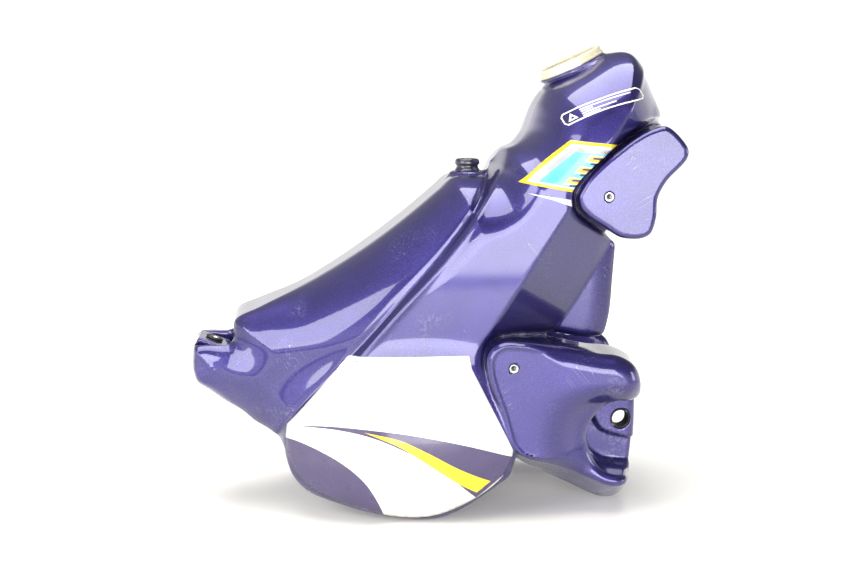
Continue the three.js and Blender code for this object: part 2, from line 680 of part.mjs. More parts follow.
function strainerGeometry() {
  const [outer, inner, top, foot] = [8.2, 7.4, 36, flangeTop + 2 * gap];
  return turned([[0, top - 0.8], [inner, top - 0.8], [inner, foot], [outer, foot], [outer, top], [0, top]]);
}

/** Rubber disc with one port for each setting. */
function valveSealGeometry() {
  const ports = [[5, 0, 1.6], [-5, 0, 1.6], [0, 4.5, 1.6]];
  const radius = tapChamber.radius - gap;
  return onLeverAxis(plate(2 * radius, 2 * radius, sealThickness, ports), tapChamber.floor + gap);
}

function coverPlateGeometry() {
  const holesIn = [[0, 0, 4.4 + gap]];
  for (const side of [-1, 1]) {
    holesIn.push([side * tapPlateScrew.x, -side * tapPlateScrew.z, tapPlateScrew.radius + gap]);
  }
  return onLeverAxis(plate(24.4, 19, coverThickness, holesIn, 2.6), coverSide);
}

// ---------------------------------------------------------------- decals

/** Thin sheet that lies on the right side panel, cut to an outline in the side view. */
function panelSheet(outline) {
  const skin = (lift) => solidOf(halfBody({ widthAt: (x, z) => halfWidth(x, z) + lift }));
  const sheet = skin(gap + decalThickness).subtract(skin(gap));
  return geometryOf(sheet.intersect(solidOf(acrossPrism(outline, 60, 200))));
}

// ---------------------------------------------------------------- finishes

const paint = { color: 0x4a3d9c, roughness: 0.22, metalness: 0.45 };
const brass = { color: 0xb8964f, roughness: 0.4, metalness: 1 };
const plated = { color: 0xc9cbc8, roughness: 0.3, metalness: 1 };
const steel = { color: 0xa9adb3, roughness: 0.35, metalness: 1 };
const castZinc = { color: 0x9a9ca0, roughness: 0.55, metalness: 0.9 };
const rubber = { color: 0x23221f, roughness: 0.75, metalness: 0 };
const darkPlastic = { color: 0x26242c, roughness: 0.35, metalness: 0.1 };
const nylonMesh = { color: 0xcfc9b0, roughness: 0.6, metalness: 0 };
const whiteFilm = { color: 0xf4efdf, roughness: 0.35, metalness: 0 };
const cyanFilm = { color: 0x8fe3ee, roughness: 0.35, metalness: 0 };

const group = new THREE.Group();
const tapGroup = new THREE.Group();
tapGroup.applyMatrix4(tapFrame);
group.add(tapGroup);

/** Adds one named piece to the model. */
function addPiece(name, geometry, look, parent = group) {
  const mesh = new THREE.Mesh(geometry, new THREE.MeshStandardMaterial(look));
  mesh.name = name;
  parent.add(mesh);
  return mesh;
}

// ---------------------------------------------------------------- assembly

addPiece('tank_shell', shellGeometry(), paint);

const sides = { right: -1, left: 1 };
for (const [sideName, side] of Object.entries(sides)) {
  const outwards = new THREE.Vector3(0, side, 0);
  const levels = { upper: upperInsert, lower: lowerInsert };
  for (const [levelName, seat] of Object.entries(levels)) {
    const piece = insert(insertRadius, insertBore, insertLength);
    standOn(piece, { x: seat.x, y: side * seat.face, z: seat.z }, outwards);
    addPiece(`insert_${levelName}_${sideName}`, piece, plated);
  }
  const bushInset = 0.5;
  const bush = ring(lugBore - gap, lugBore - 1.7, lugFace - backboneHalfWidth - 2 * bushInset, 28);
  standOn(bush, { x: lugCentre.x, y: side * (backboneHalfWidth + bushInset), z: lugCentre.z }, outwards);
  addPiece(`front_bush_${sideName}`, bush, rubber);

  const fitted = (geometry) => (side > 0 ? mirrored(geometry) : geometry);
  addPiece(`wing_decal_${sideName}`, fitted(panelSheet(wingDecal)), whiteFilm);
  addPiece(`badge_${sideName}`, fitted(panelSheet(badge)), cyanFilm);
}
addPiece('warning_label', panelSheet(warningLabel), whiteFilm);

const seatTop = { x: seatPost.x, z: seatPost.z };
addPiece('seat_hook_insert',
  standOn(insert(seatInsertRadius, seatBoltRadius + gap, seatInsertLength), seatTop, upwards), brass);
const collarHeight = 13;
const collarBore = seatBoltRadius + gap;
const boltSeat = 8.5;
addPiece('seat_hook_collar', standOn(turned([
  [collarBore, gap], [12.5, gap], [12.5, 1.6], [11.2, 3.4], [10.6, 6], [11.8, 7.4], [12, 8.4],
  [11.6, 11], [9.4, collarHeight], [6.6, collarHeight], [6.6, boltSeat], [collarBore, boltSeat],
]), seatTop, upwards), darkPlastic);
addPiece('seat_hook_bolt', standOn(screw(seatBoltRadius, boltSeat + 12, 6, 3.8, 2.4),
  { x: seatPost.x, z: seatPost.z + boltSeat + gap }, upwards), steel);

const tongueFoot = rearMount.clone().addScaledVector(tongueUp, -tongue.thickness);
const grommetWaist = rearBore - gap;
const grommetBore = 4.6;
const grommetFlange = 8.5;
const [low, high] = [-gap, tongue.thickness + gap];
addPiece('rear_grommet', standOn(turned([
  [grommetBore, low - 2], [grommetFlange, low - 2], [grommetFlange, low], [grommetWaist, low],
  [grommetWaist, high], [grommetFlange, high], [grommetFlange, high + 2], [grommetBore, high + 2],
]), tongueFoot, tongueUp), rubber);
const sleeve = ring(grommetBore - gap, 3.2, high - low + 4);
sleeve.translate(0, 0, low - 2);
addPiece('rear_sleeve', standOn(sleeve, tongueFoot, tongueUp), steel);

for (const [place, side] of Object.entries({ rear: -1, front: 1 })) {
  const tapInsert = insert(insertRadius, tapScrewRadius + gap, insertLength);
  tapInsert.rotateX(Math.PI);
  tapInsert.translate(side * tapScrewX, 0, 0);
  addPiece(`tap_insert_${place}`, tapInsert, brass, tapGroup);
  const tapScrew = screw(tapScrewRadius, 17, 4.4, 3.4, 1.9);
  tapScrew.rotateX(Math.PI);
  tapScrew.translate(side * tapScrewX, 0, flangeUnderside - gap);
  addPiece(`tap_screw_${place}`, tapScrew, steel, tapGroup);
}
const gasket = plate(tapFlange.length, tapFlange.width, gasketThickness,
  [[0, 0, tapBore - 0.5], [-tapScrewX, 0, tapScrewRadius + 0.6], [tapScrewX, 0, tapScrewRadius + 0.6]]);
gasket.translate(0, 0, -gap - gasketThickness);
addPiece('tap_gasket', gasket, rubber, tapGroup);
addPiece('tap_body', tapBodyGeometry(), castZinc, tapGroup);
const pipe = ring(standpipe.outer, standpipe.bore, standpipe.length, 14);
pipe.translate(0, 0, flangeTop - standpipe.socket + gap);
addPiece('tap_standpipe', pipe, brass, tapGroup);
addPiece('tap_strainer', strainerGeometry(), nylonMesh, tapGroup);
addPiece('tap_valve_seal', valveSealGeometry(), rubber, tapGroup);
addPiece('tap_lever', tapLeverGeometry(), castZinc, tapGroup);
addPiece('tap_wave_washer',
  onLeverAxis(ring(tapChamber.radius - 0.6, 5.2, 0.7), discSide + discThickness + gap), steel, tapGroup);
addPiece('tap_cover_plate', coverPlateGeometry(), steel, tapGroup);
for (const [number, side] of [[1, -1], [2, 1]]) {
  const plateScrew = screw(tapPlateScrew.radius, 7, 2.6, 1.6, 1.1);
  onLeverAxis(plateScrew, coverSide + coverThickness + gap);
  plateScrew.translate(side * tapPlateScrew.x, 0, side * tapPlateScrew.z);
  addPiece(`tap_cover_screw_${number}`, plateScrew, steel, tapGroup);
}

export default group;
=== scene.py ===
"""Looks of a motorcycle fuel tank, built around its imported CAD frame.

The painted shell is one smooth implicit surface: its side view gives distance fields, and the
rounded body, pads, lobes, neck and pockets are joined and cut in them. Shape sizes are in
millimetres, in the frame of the CAD model, and every mesh is made in metres.
"""

import math

import bmesh
import bpy
import numpy as np
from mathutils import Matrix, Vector
from mathutils.geometry import delaunay_2d_cdt


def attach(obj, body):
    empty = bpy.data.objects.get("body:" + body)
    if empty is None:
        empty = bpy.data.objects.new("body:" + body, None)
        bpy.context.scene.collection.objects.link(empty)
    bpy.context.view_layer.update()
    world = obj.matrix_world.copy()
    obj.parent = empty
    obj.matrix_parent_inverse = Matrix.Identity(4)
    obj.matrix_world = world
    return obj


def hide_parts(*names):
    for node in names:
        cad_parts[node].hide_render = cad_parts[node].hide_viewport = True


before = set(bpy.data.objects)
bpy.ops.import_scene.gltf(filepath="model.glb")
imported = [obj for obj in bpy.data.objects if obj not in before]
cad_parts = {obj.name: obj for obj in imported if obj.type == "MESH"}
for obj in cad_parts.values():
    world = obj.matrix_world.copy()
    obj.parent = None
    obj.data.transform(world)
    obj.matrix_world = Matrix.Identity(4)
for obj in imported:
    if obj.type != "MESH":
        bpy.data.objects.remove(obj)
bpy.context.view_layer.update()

MM = 0.001

# ---- driving dimensions, in mm

PANEL_STEP = 5  # height of the side panels over the seat area
KNEE_HALF_WIDTH = 110
WING_BULGE = 30  # how far each wing swells past the knee panel
TAIL_NARROWING = 0.42  # part of the half width lost at the tail end
SHOULDER_NARROWING = 20
FRONT_SLOPE = 0.85  # half width lost for each millimetre in front of the crease
LEAST_HALF_WIDTH = 56

TILT = math.radians(30)  # the motorcycle's level line in this resting pose
TUNNEL = {"half": 42, "ceiling": 188, "corner": 20}
ENGINE_GAP = {"half": 72, "ceiling": 118, "front": 105, "corner": 30}

NECK_TOP = (138, 434.5)
NECK_LEAN = math.radians(25)  # towards the seat
NECK_BORE = 28  # radius
NECK_ROOT = 32.5  # radius between the threads
THREAD_RADIUS = 35
THREAD_PITCH = 6.5

PAD_FACE = 108  # half width over the shroud pads
LOBE_FACE = 126  # half width over the front lobes
LOBE_INNER = 36
LOBE_LIFT = 0.45  # rise of a lobe's lower side for each millimetre outwards
LOBE_TAPER = 0.14  # how much the front end falls back for each millimetre outwards
LUG_HOLLOW = 20  # how far a lobe's outer face sinks at the rim of the lug's pocket
LUG_FACE = 62  # half width at the outer face of the lug
LUG_CENTRE = (181.9, 83.9)
LUG_BORE = 9.7  # radius
POCKET_FLOOR = 52  # half width at the floor of the lug's deep pocket
CLEARANCE = 0.3  # between an insert and its seat

UPPER_INSERT = (157.4, 305.1, PAD_FACE)
LOWER_INSERT = (66.1, 147.5, LOBE_FACE)
INSERT_RADIUS = 4.4
INSERT_BORE = 2.5
INSERT_LENGTH = 12

SEAT_POST = (37, 323.5)
SEAT_POST_RADIUS = 17
TONGUE_FROM = (-229, 165)
TONGUE_TO = (-205.6, 156)
TONGUE_BORE_AT = 15.6  # from the tongue's rear end
TONGUE_THICKNESS = 7
TONGUE_HALF_WIDTH = 24
REAR_BORE = 7
TAIL_POCKET_HALF_WIDTH = 44

TAP_SEAT = (63, 100, 33)  # middle of the flat face that the fuel tap bolts to
TAP_BOSS = (58, 26)
TAP_SCREW_SPACING = 38
TAP_BORE = 9.5
CHAMBER_WALL = 16  # the visual shell is hollow only where the filler neck shows it

UPPER_EDGE = [
    (-238, 146), (-233, 160), (-219, 163), (-206, 163), (-196, 165), (-193, 184), (-169, 196),
    (-129, 214), (-85, 240), (-50, 264), (-20, 287), (4, 307), (20, 320), (53, 323), (60, 336),
    (71, 346), (84, 352), (93, 363), (98, 376), (104, 391), (115, 406), (146, 425), (174, 439),
    (193, 440), (207, 426), (219, 403), (228, 382), (234, 362), (231, 344),
]
LOWER_EDGE = [
    (-238, 136), (-233, 124), (-218, 112), (-204, 103), (-190, 95), (-176, 87), (-160, 80),
    (-148, 68), (-144, 44), (-128, 26), (-92, 13), (-45, 3), (-15, 0), (2, 2), (24, 12), (50, 30),
    (78, 51), (104, 78), (136, 112), (164, 146), (176, 180), (180, 222), (182, 250), (183, 260),
    (184, 262), (185, 263),
]
LOWER_EDGE_SIDE = [
    0, 0, 12, 26, 38, 48, 62, 84, 104, 110, 112, 112, 112, 112, 112, 112, 110, 100, 85, 70, 62, 60,
    60, 60, 62, 66,
]  # half width at which each point of the lower edge lies
EDGE_THICKNESS = 14  # least distance from the lowest line of an edge out to its side
RIDGE = [
    (-152, 76), (-145, 86), (-127, 108), (-85, 152), (-38, 205), (-1, 246), (34, 292), (59, 330),
    (72, 359), (78, 392),
]
CREASE = [(-22, 73), (42, 173), (80, 231), (121, 296), (230, 466)]
SHROUD_PAD = [
    (130, 297), (129, 306), (133, 314), (139, 323), (158, 341), (185, 361), (200, 368), (212, 370),
    (229, 355), (233, 347), (231, 339), (214, 321), (208, 312), (204, 302), (203, 284), (198, 270),
    (191, 266), (182, 265), (169, 267), (153, 277), (138, 287),
]
LOBE = [
    (41, 149), (42, 160), (47, 167), (55, 172), (71, 172), (119, 164), (148, 158), (173, 155),
    (190, 146), (196, 134), (197, 95), (196, 60), (191, 20), (186, 6), (179, 0), (164, 0), (149, 6),
    (127, 17), (106, 25), (88, 31), (74, 44), (64, 70), (54, 105), (45, 130),
]
LUG_POCKET = [
    (235, 112), (184, 110), (170, 110), (158, 106), (149, 97), (142, 86), (140, 76), (143, 64),
    (148, 53), (156, 43), (168, 39), (235, 41),
]
DEEP_POCKET = [
    (235, 58), (196, 63), (168, 70), (160, 76), (152, 90), (147, 84), (144, 74), (147, 64),
    (152, 54), (160, 46), (170, 42), (235, 44),
]
TAIL_POCKET = [(-226.5, 140), (-196, 139), (-196, 178), (-236, 178)]
LOBE_ARC = [
    (92, 66), (82, 66), (65, 99), (53, 121), (45, 138), (40, 150), (42, 162), (50, 171), (72, 174),
    (120, 169), (170, 160), (260, 158),
]
PAD_ARC = [
    (260, 262), (172, 262), (150, 274), (129, 290), (124, 306), (133, 322), (158, 345), (185, 365),
    (204, 373), (218, 374), (280, 374),
]

# ---- curves and fields of the side view


def smooth_curve(points, closed=False, per_span=6):
    """Dense points of a centripetal Catmull-Rom curve through the given points."""
    p = np.array(points, float)
    if closed:
        p = np.vstack([p[-1], p, p[0], p[1]])
    else:
        p = np.vstack([2 * p[0] - p[1], p, 2 * p[-1] - p[-2]])
    t = np.arange(per_span)[:, None] / per_span
    out = []
    for a, b, c, d in zip(p, p[1:], p[2:], p[3:]):
        ab, bc, cd = (math.sqrt(np.linalg.norm(v - u)) for u, v in ((a, b), (b, c), (c, d)))
        start = ((b - a) / ab - (c - a) / (ab + bc) + (c - b) / bc) * bc
        end = ((c - b) / bc - (d - b) / (bc + cd) + (d - c) / cd) * bc
        out.append((2 * t**3 - 3 * t**2 + 1) * b + (t**3 - 2 * t**2 + t) * start
                   + (3 * t**2 - 2 * t**3) * c + (t**3 - t**2) * end)
    if not closed:
        out.append(p[-2][None])
    return np.vstack(out)


def inside_distance(outline, x, z):
    """Distance to a closed outline, positive inside it."""
    nearest = np.full(x.shape, 1e9)
    inside = np.zeros(x.shape, bool)
    for (ax, az), (bx, bz) in zip(outline, np.roll(outline, -1, axis=0)):
        ex, ez = bx - ax, bz - az
        wx, wz = x - ax, z - az
        t = np.clip((wx * ex + wz * ez) / (ex * ex + ez * ez + 1e-12), 0, 1)
        nearest = np.minimum(nearest, (wx - t * ex) ** 2 + (wz - t * ez) ** 2)
        crosses = (az > z) != (bz > z)
        inside ^= crosses & (x < ax + (z - az) * ex / (ez if ez else 1e-12))
    return np.where(inside, 1, -1) * np.sqrt(nearest)


def smoothstep(value, low, high):
    t = np.clip((value - low) / (high - low), 0, 1)
    return t * t * (3 - 2 * t)


def bell(value, centre, width):
    return np.exp(-(((value - centre) / width) ** 2))


def blurred(values, cells):
    """Values averaged over a bell of the given number of grid cells."""
    reach = int(3 * cells) + 1
    shares = np.exp(-0.5 * (np.arange(-reach, reach + 1) / cells) ** 2)
    shares /= shares.sum()
    for axis in (0, 1):
        wide = np.pad(values, [(reach, reach) if a == axis else (0, 0) for a in (0, 1)], "edge")
        size = values.shape[axis]
        values = sum(w * np.take(wide, np.arange(i, i + size), axis)
                     for i, w in enumerate(shares))
    return values


GRID_STEP = 1.5
GRID_X = np.arange(-264, 264, GRID_STEP)
GRID_Z = np.arange(-30, 480, GRID_STEP)


def read_grid(fields, x, z):
    """Reads fields of the side view at any points, with smooth slopes between the grid's points."""
    u = (x - GRID_X[0]) / GRID_STEP
    v = (z - GRID_Z[0]) / GRID_STEP
    i = np.clip(np.floor(u).astype(int), 1, len(GRID_X) - 3)
    j = np.clip(np.floor(v).astype(int), 1, len(GRID_Z) - 3)

    def weights(t):
        return (-t / 2 + t**2 - t**3 / 2, 1 - 2.5 * t**2 + 1.5 * t**3,
                t / 2 + 2 * t**2 - 1.5 * t**3, -t**2 / 2 + t**3 / 2)

    across, up = weights(u - i), weights(v - j)
    total = 0
    for a in range(4):
        for b in range(4):
            total = total + fields[:, i + a - 1, j + b - 1] * (across[a] * up[b])
    return total


def half_width(x, z, crease_distance):
    """Half width of the side panels over the whole side view."""
    from_wing = np.hypot((x + 20) / 165, (z - 72) / 105)
    bulge = WING_BULGE * np.maximum(0, 1 - from_wing**2) ** 2
    tail = 1 - TAIL_NARROWING * smoothstep(-x, 40, 240)
    shoulder = SHOULDER_NARROWING * smoothstep(z, 330, 445)
    past = np.maximum(0, -crease_distance)
    front = FRONT_SLOPE * past * np.maximum(smoothstep(z, 150, 176), smoothstep(x, 66, 92))
    return np.maximum(LEAST_HALF_WIDTH * tail, KNEE_HALF_WIDTH * tail + bulge - shoulder - front)


def lower_edge_side(x, z):
    """Half width of the nearest point of the lower edge."""
    curve = smooth_curve(LOWER_EDGE, per_span=4)
    sides = np.interp(np.arange(len(curve)) / 4, np.arange(len(LOWER_EDGE_SIDE)), LOWER_EDGE_SIDE)
    nearest = np.full(x.shape, 1e9)
    found = np.zeros(x.shape)
    for (at_x, at_z), side in zip(curve, sides):
        distance = np.hypot(x - at_x, z - at_z)
        found = np.where(distance < nearest, side, found)
        nearest = np.minimum(nearest, distance)
    return blurred(found, 6)


def side_fields():
    """Every field of the side view that the shell is made from."""
    x, z = np.meshgrid(GRID_X, GRID_Z, indexing="ij")
    upper = smooth_curve(UPPER_EDGE)
    lower = smooth_curve(LOWER_EDGE)
    below = [(240, 200), (240, -300), (-238, -300)]
    above = [(500, 344), (500, 700), (-238, 700)]
    top = inside_distance(np.vstack([upper, below]), x, z)
    bottom = inside_distance(np.vstack([lower, upper[-1:], above]), x, z)
    crease = inside_distance(np.array(CREASE + [(-300, 466), (-300, 73)]), x, z)
    panel = np.vstack([
        smooth_curve(RIDGE), [(84, 480), (290, 480)], smooth_curve(PAD_ARC)[::-1],
        smooth_curve(LOBE_ARC)[::-1], [(110, 40), (60, -40), (-170, -40)],
    ])
    panel_distance = inside_distance(panel, x, z)
    seat_side = smooth_curve(RIDGE).tolist() + [(90, 480), (-264, 480), (-264, 60)]
    ridge = -inside_distance(np.array(seat_side), x, z)
    along_ridge = smoothstep(z, 66, 84) * (1 - smoothstep(z, 392, 420))

    width = half_width(x, z, blurred(crease, 3))
    width = width - PANEL_STEP * (1 - smoothstep(panel_distance, -2.5, 3))
    beside_ridge = 1 - smoothstep(np.abs(ridge), 14, 24)
    seam = (4 + 5 * smoothstep(z, 250, 272)) * bell(panel_distance, -4, 2.6)
    seam = seam + 1.6 * (1 - smoothstep(panel_distance, 0, 9))
    width = width - seam * (1 - beside_ridge) * (panel_distance > -12)
    width = width + along_ridge * (1.5 * bell(ridge, 4, 2.6)
                                   - 1.4 * bell(ridge, -3.5, 2.4))
    width = blurred(width, 0.9)
    slope_x, slope_z = np.gradient(width, GRID_STEP)
    slope = np.sqrt(1 + np.minimum(slope_x**2 + slope_z**2, 4))
    thickness = top + bottom
    top_radius = 40 + 22 * smoothstep(x, -196, -60) - 16 * smoothstep(x, 20, 100)
    bottom_radius = 42 - 12 * smoothstep(x, -176, -128)
    limit = np.maximum(0.75 * thickness, 9)
    top_radius = np.minimum(top_radius, limit)
    bottom_radius = np.minimum(bottom_radius, limit)
    middle = np.minimum(lower_edge_side(x, z), width - EDGE_THICKNESS)
    up_the_side = smoothstep(bottom / np.maximum(thickness, 1), 0.2, 0.8)
    shoulder = 0.38 + 0.37 * smoothstep(x, -196, -120) + 0.12 * smoothstep(x, 30, 80)
    side_radius = (width - middle) * (1 - up_the_side) + width * shoulder * up_the_side
    fields = {
        "side_radius": blurred(side_radius, 2),
        "top": top,
        "bottom": bottom,
        "width": width,
        "slope": blurred(slope, 1),
        "top_radius": blurred(top_radius, 2),
        "bottom_radius": blurred(bottom_radius, 2),
        "pad": inside_distance(smooth_curve(SHROUD_PAD, closed=True), x, z),
        "pocket": blurred(inside_distance(smooth_curve(LUG_POCKET, True), x, z), 1),
        "deep": blurred(inside_distance(smooth_curve(DEEP_POCKET, True), x, z), 1),
        "tail": inside_distance(np.array(TAIL_POCKET), x, z),
        "lobe": blurred(inside_distance(smooth_curve(LOBE, closed=True), x, z), 2),
    }
    return list(fields), np.array(list(fields.values()), np.float32)


FIELD_NAMES, FIELDS = side_fields()
LOBE_FIELD = FIELDS[-1:]

# ---- the implicit shell


def rounded(a, b, radius):
    """Distance to the space where both a and b are negative, its edge rounded."""
    past = np.hypot(np.maximum(a + radius, 0), np.maximum(b + radius, 0))
    return past + np.minimum(np.maximum(a + radius, b + radius), 0) - radius


def join(a, b, softness):
    share = np.maximum(softness - np.abs(a - b), 0) / softness
    return np.minimum(a, b) - share * share * softness / 4


def cut(a, tool, softness):
    return -join(-a, tool, softness)


def lobe_distance(x, y, z, pocket):
    """Distance to the front lobes. Their lower side rises outwards, and they sink towards the lug."""
    x, y, z, pocket = np.broadcast_arrays(x, np.abs(y), z, pocket)
    out = np.full(x.shape, 60.0)
    near = (x > 20) & (x < 225) & (y > 20) & (z < 200)
    x, y, z, pocket = x[near], y[near], z[near], pocket[near]
    lift = LOBE_LIFT * np.maximum(0, y - LOBE_INNER - 8)
    # kept inside the grid of the side view's fields
    level = np.maximum(z - lift * (1 - smoothstep(z, 15 + lift, 80)), GRID_Z[2])
    taper = LOBE_TAPER * np.maximum(0, y - LUG_FACE) * smoothstep(x, 140, 190)
    inwards = read_grid(LOBE_FIELD, x + taper, level)[0]
    sunk = LUG_HOLLOW * bell(np.maximum(0, -pocket), 0, 26)
    sunk = sunk * (1 - smoothstep(z, 104, 132)) * smoothstep(z, 22, 52)
    bead = 1.2 * bell(inwards, 4, 2) * (1 - smoothstep(x, 82, 112))
    face = LOBE_FACE - sunk + bead
    radius = 4 + 13 * smoothstep(x, 76, 118)
    out[near] = np.maximum(rounded(-inwards, y - face, radius), LOBE_INNER - y)
    return out


def in_neck(x, y, z):
    """Radius, angle and height of points in the filler neck's own frame; its rim is at height 0."""
    dx, dz = x - NECK_TOP[0], z - NECK_TOP[1]
    height = -math.sin(NECK_LEAN) * dx + math.cos(NECK_LEAN) * dz
    forward = math.cos(NECK_LEAN) * dx + math.sin(NECK_LEAN) * dz
    return np.hypot(forward, y), np.arctan2(y, forward), height


def neck_distance(radius, angle, height):
    turn = height / THREAD_PITCH + angle / (2 * math.pi)
    phase = np.abs(turn - np.floor(turn) - 0.5) * 2
    crest = smoothstep(phase, 0.35, 0.8)
    present = smoothstep(height, -24, -20) * (1 - smoothstep(height, -9, -5.5))
    thread = (THREAD_RADIUS - NECK_ROOT) * crest * present
    collar = 6 * (1 - smoothstep(height, -29, -25))
    outside = (radius - NECK_ROOT - thread - collar) / 1.4
    return rounded(outside, np.maximum(height, -62 - height), 1.2)


def tongue_run():
    """Direction and length of the rear tongue in the side view."""
    run = np.array(TONGUE_TO, float) - np.array(TONGUE_FROM, float)
    length = np.linalg.norm(run)
    return run / length, length


def tongue_frame(x, z):
    """Points along the tongue and above it, and its length."""
    run, length = tongue_run()
    dx, dz = x - TONGUE_FROM[0], z - TONGUE_FROM[1]
    return dx * run[0] + dz * run[1], -dx * run[1] + dz * run[0], length


def in_tap_frame(x, z):
    dx, dz = x - TAP_SEAT[0], z - TAP_SEAT[2]
    return dx * math.cos(TILT) + dz * math.sin(TILT), -dx * math.sin(TILT) + dz * math.cos(TILT)


def shell_distance(fields, x, y, z):
    """Signed distance to the shell, in mm, negative in its wall."""
    f = dict(zip(FIELD_NAMES, fields))
    side = np.abs(y)
    body_radius = f["side_radius"]
    past_top = np.maximum(1 - f["top"] / f["top_radius"], 0)
    past_bottom = np.maximum(1 - f["bottom"] / f["bottom_radius"], 0)
    past_side = np.maximum((side - f["width"]) / f["slope"] + body_radius, 0) / body_radius
    shape = (np.sqrt(past_top**2 + past_bottom**2 + past_side**2) - 1) * body_radius

    shape = join(shape, rounded(-f["pad"], side - PAD_FACE, 5), 2.5)
    shape = join(shape, lobe_distance(x, y, z, f["pocket"]), 3)

    boss_x, boss_z = in_tap_frame(x, z)
    reach = (TAP_BOSS[0] - TAP_BOSS[1]) / 2
    stadium = np.hypot(np.maximum(np.abs(boss_x) - reach, 0), y - TAP_SEAT[1]) - TAP_BOSS[1] / 2
    shape = join(shape, rounded(stadium, np.maximum(-boss_z, boss_z - 26), 1.5), 3)

    level = x * math.cos(TILT) + z * math.sin(TILT)
    plumb = -x * math.sin(TILT) + z * math.cos(TILT)
    tunnel = rounded(side - TUNNEL["half"], plumb - TUNNEL["ceiling"], TUNNEL["corner"])
    gap = rounded(level - ENGINE_GAP["front"], plumb - ENGINE_GAP["ceiling"], ENGINE_GAP["corner"])
    gap = rounded(gap, side - ENGINE_GAP["half"], 10)
    shape = cut(shape, join(tunnel, gap, 12), 12)

    shape = cut(shape, rounded(-f["pocket"], LUG_FACE - side, 3), 9)
    shape = cut(shape, rounded(-f["deep"], POCKET_FLOOR - side, 3), 4)
    shape = cut(shape, rounded(-f["tail"], side - TAIL_POCKET_HALF_WIDTH, 8), 6)

    run, up, length = tongue_frame(x, z)
    tongue_edge = np.maximum(side - TONGUE_HALF_WIDTH, -run)
    tongue = rounded(tongue_edge, np.maximum(up, -up - TONGUE_THICKNESS), 2)
    shape = join(shape, np.maximum(tongue, run - length - 8), 2)
    shape = cut(shape, np.hypot(run - TONGUE_BORE_AT, y) - REAR_BORE, 0.8)

    post = np.hypot(x - SEAT_POST[0], y) - SEAT_POST_RADIUS
    shape = join(shape, rounded(post, np.maximum(z - SEAT_POST[1], 290 - z), 2), 8)
    shape = cut(shape, np.maximum(post + 1.5, SEAT_POST[1] - z), 0.5)

    radius, angle, height = in_neck(x, y, z)
    shape = join(shape, neck_distance(radius, angle, height), 6)
    chamber = np.maximum(shape + CHAMBER_WALL, np.hypot(np.hypot(x - 112, y), z - 345) - 82)
    shape = cut(shape, chamber, 2)
    shape = cut(shape, rounded(radius - NECK_BORE, -75 - height, 1), 1.2)

    for at_x, at_z, face in (UPPER_INSERT, LOWER_INSERT):
        seat = np.hypot(x - at_x, z - at_z) - INSERT_RADIUS - CLEARANCE
        shape = cut(shape, np.maximum(seat, face - INSERT_LENGTH - 1 - side), 0.6)
    shape = cut(shape, np.hypot(x - LUG_CENTRE[0], z - LUG_CENTRE[1]) - LUG_BORE, 1)
    seat = np.hypot(x - SEAT_POST[0], y) - 5.8
    shape = cut(shape, np.maximum(seat, SEAT_POST[1] - 17 - z), 0.6)
    tap = np.hypot(boss_x, y - TAP_SEAT[1]) - TAP_BORE
    shape = cut(shape, np.maximum(tap, boss_z - 40), 0.6)
    for way in (-1, 1):
        screw = np.hypot(boss_x + way * TAP_SCREW_SPACING / 2, y - TAP_SEAT[1])
        screw = screw - INSERT_RADIUS - CLEARANCE
        shape = cut(shape, np.maximum(screw, boss_z - INSERT_LENGTH - 3), 0.6)
    return shape


def distance_at(points):
    x, y, z = points.T
    return shell_distance(read_grid(FIELDS, x, z), x, y, z)


def slope_at(points, step=0.12):
    """Gradient of the shell's distance at points."""
    columns = []
    for axis in range(3):
        shift = np.zeros(3)
        shift[axis] = step
        columns.append((distance_at(points + shift) - distance_at(points - shift)) / (2 * step))
    return np.stack(columns, axis=1)


def unit(vectors):
    return vectors / np.maximum(np.linalg.norm(vectors, axis=1, keepdims=True), 1e-9)


# ---- meshing


def spaced(low, high, step, fine=()):
    """Places from low to high, closer together in the fine stretch."""
    places = [low]
    while places[-1] < high:
        close = fine and fine[0] - step < places[-1] < fine[1]
        places.append(places[-1] + (step / 2 if close else step))
    return np.array(places)


def lattice_values(xs, ys, zs):
    flat_x, flat_z = np.meshgrid(xs, zs, indexing="ij")
    fields = read_grid(FIELDS, flat_x, flat_z)[:, :, None, :]
    values = np.empty((len(xs), len(ys), len(zs)), np.float32)
    slab = 12
    for start in range(0, len(ys), slab):
        y = ys[start:start + slab]
        values[:, start:start + slab] = shell_distance(
            fields, xs[:, None, None], y[None, :, None], zs[None, None, :])
    return values


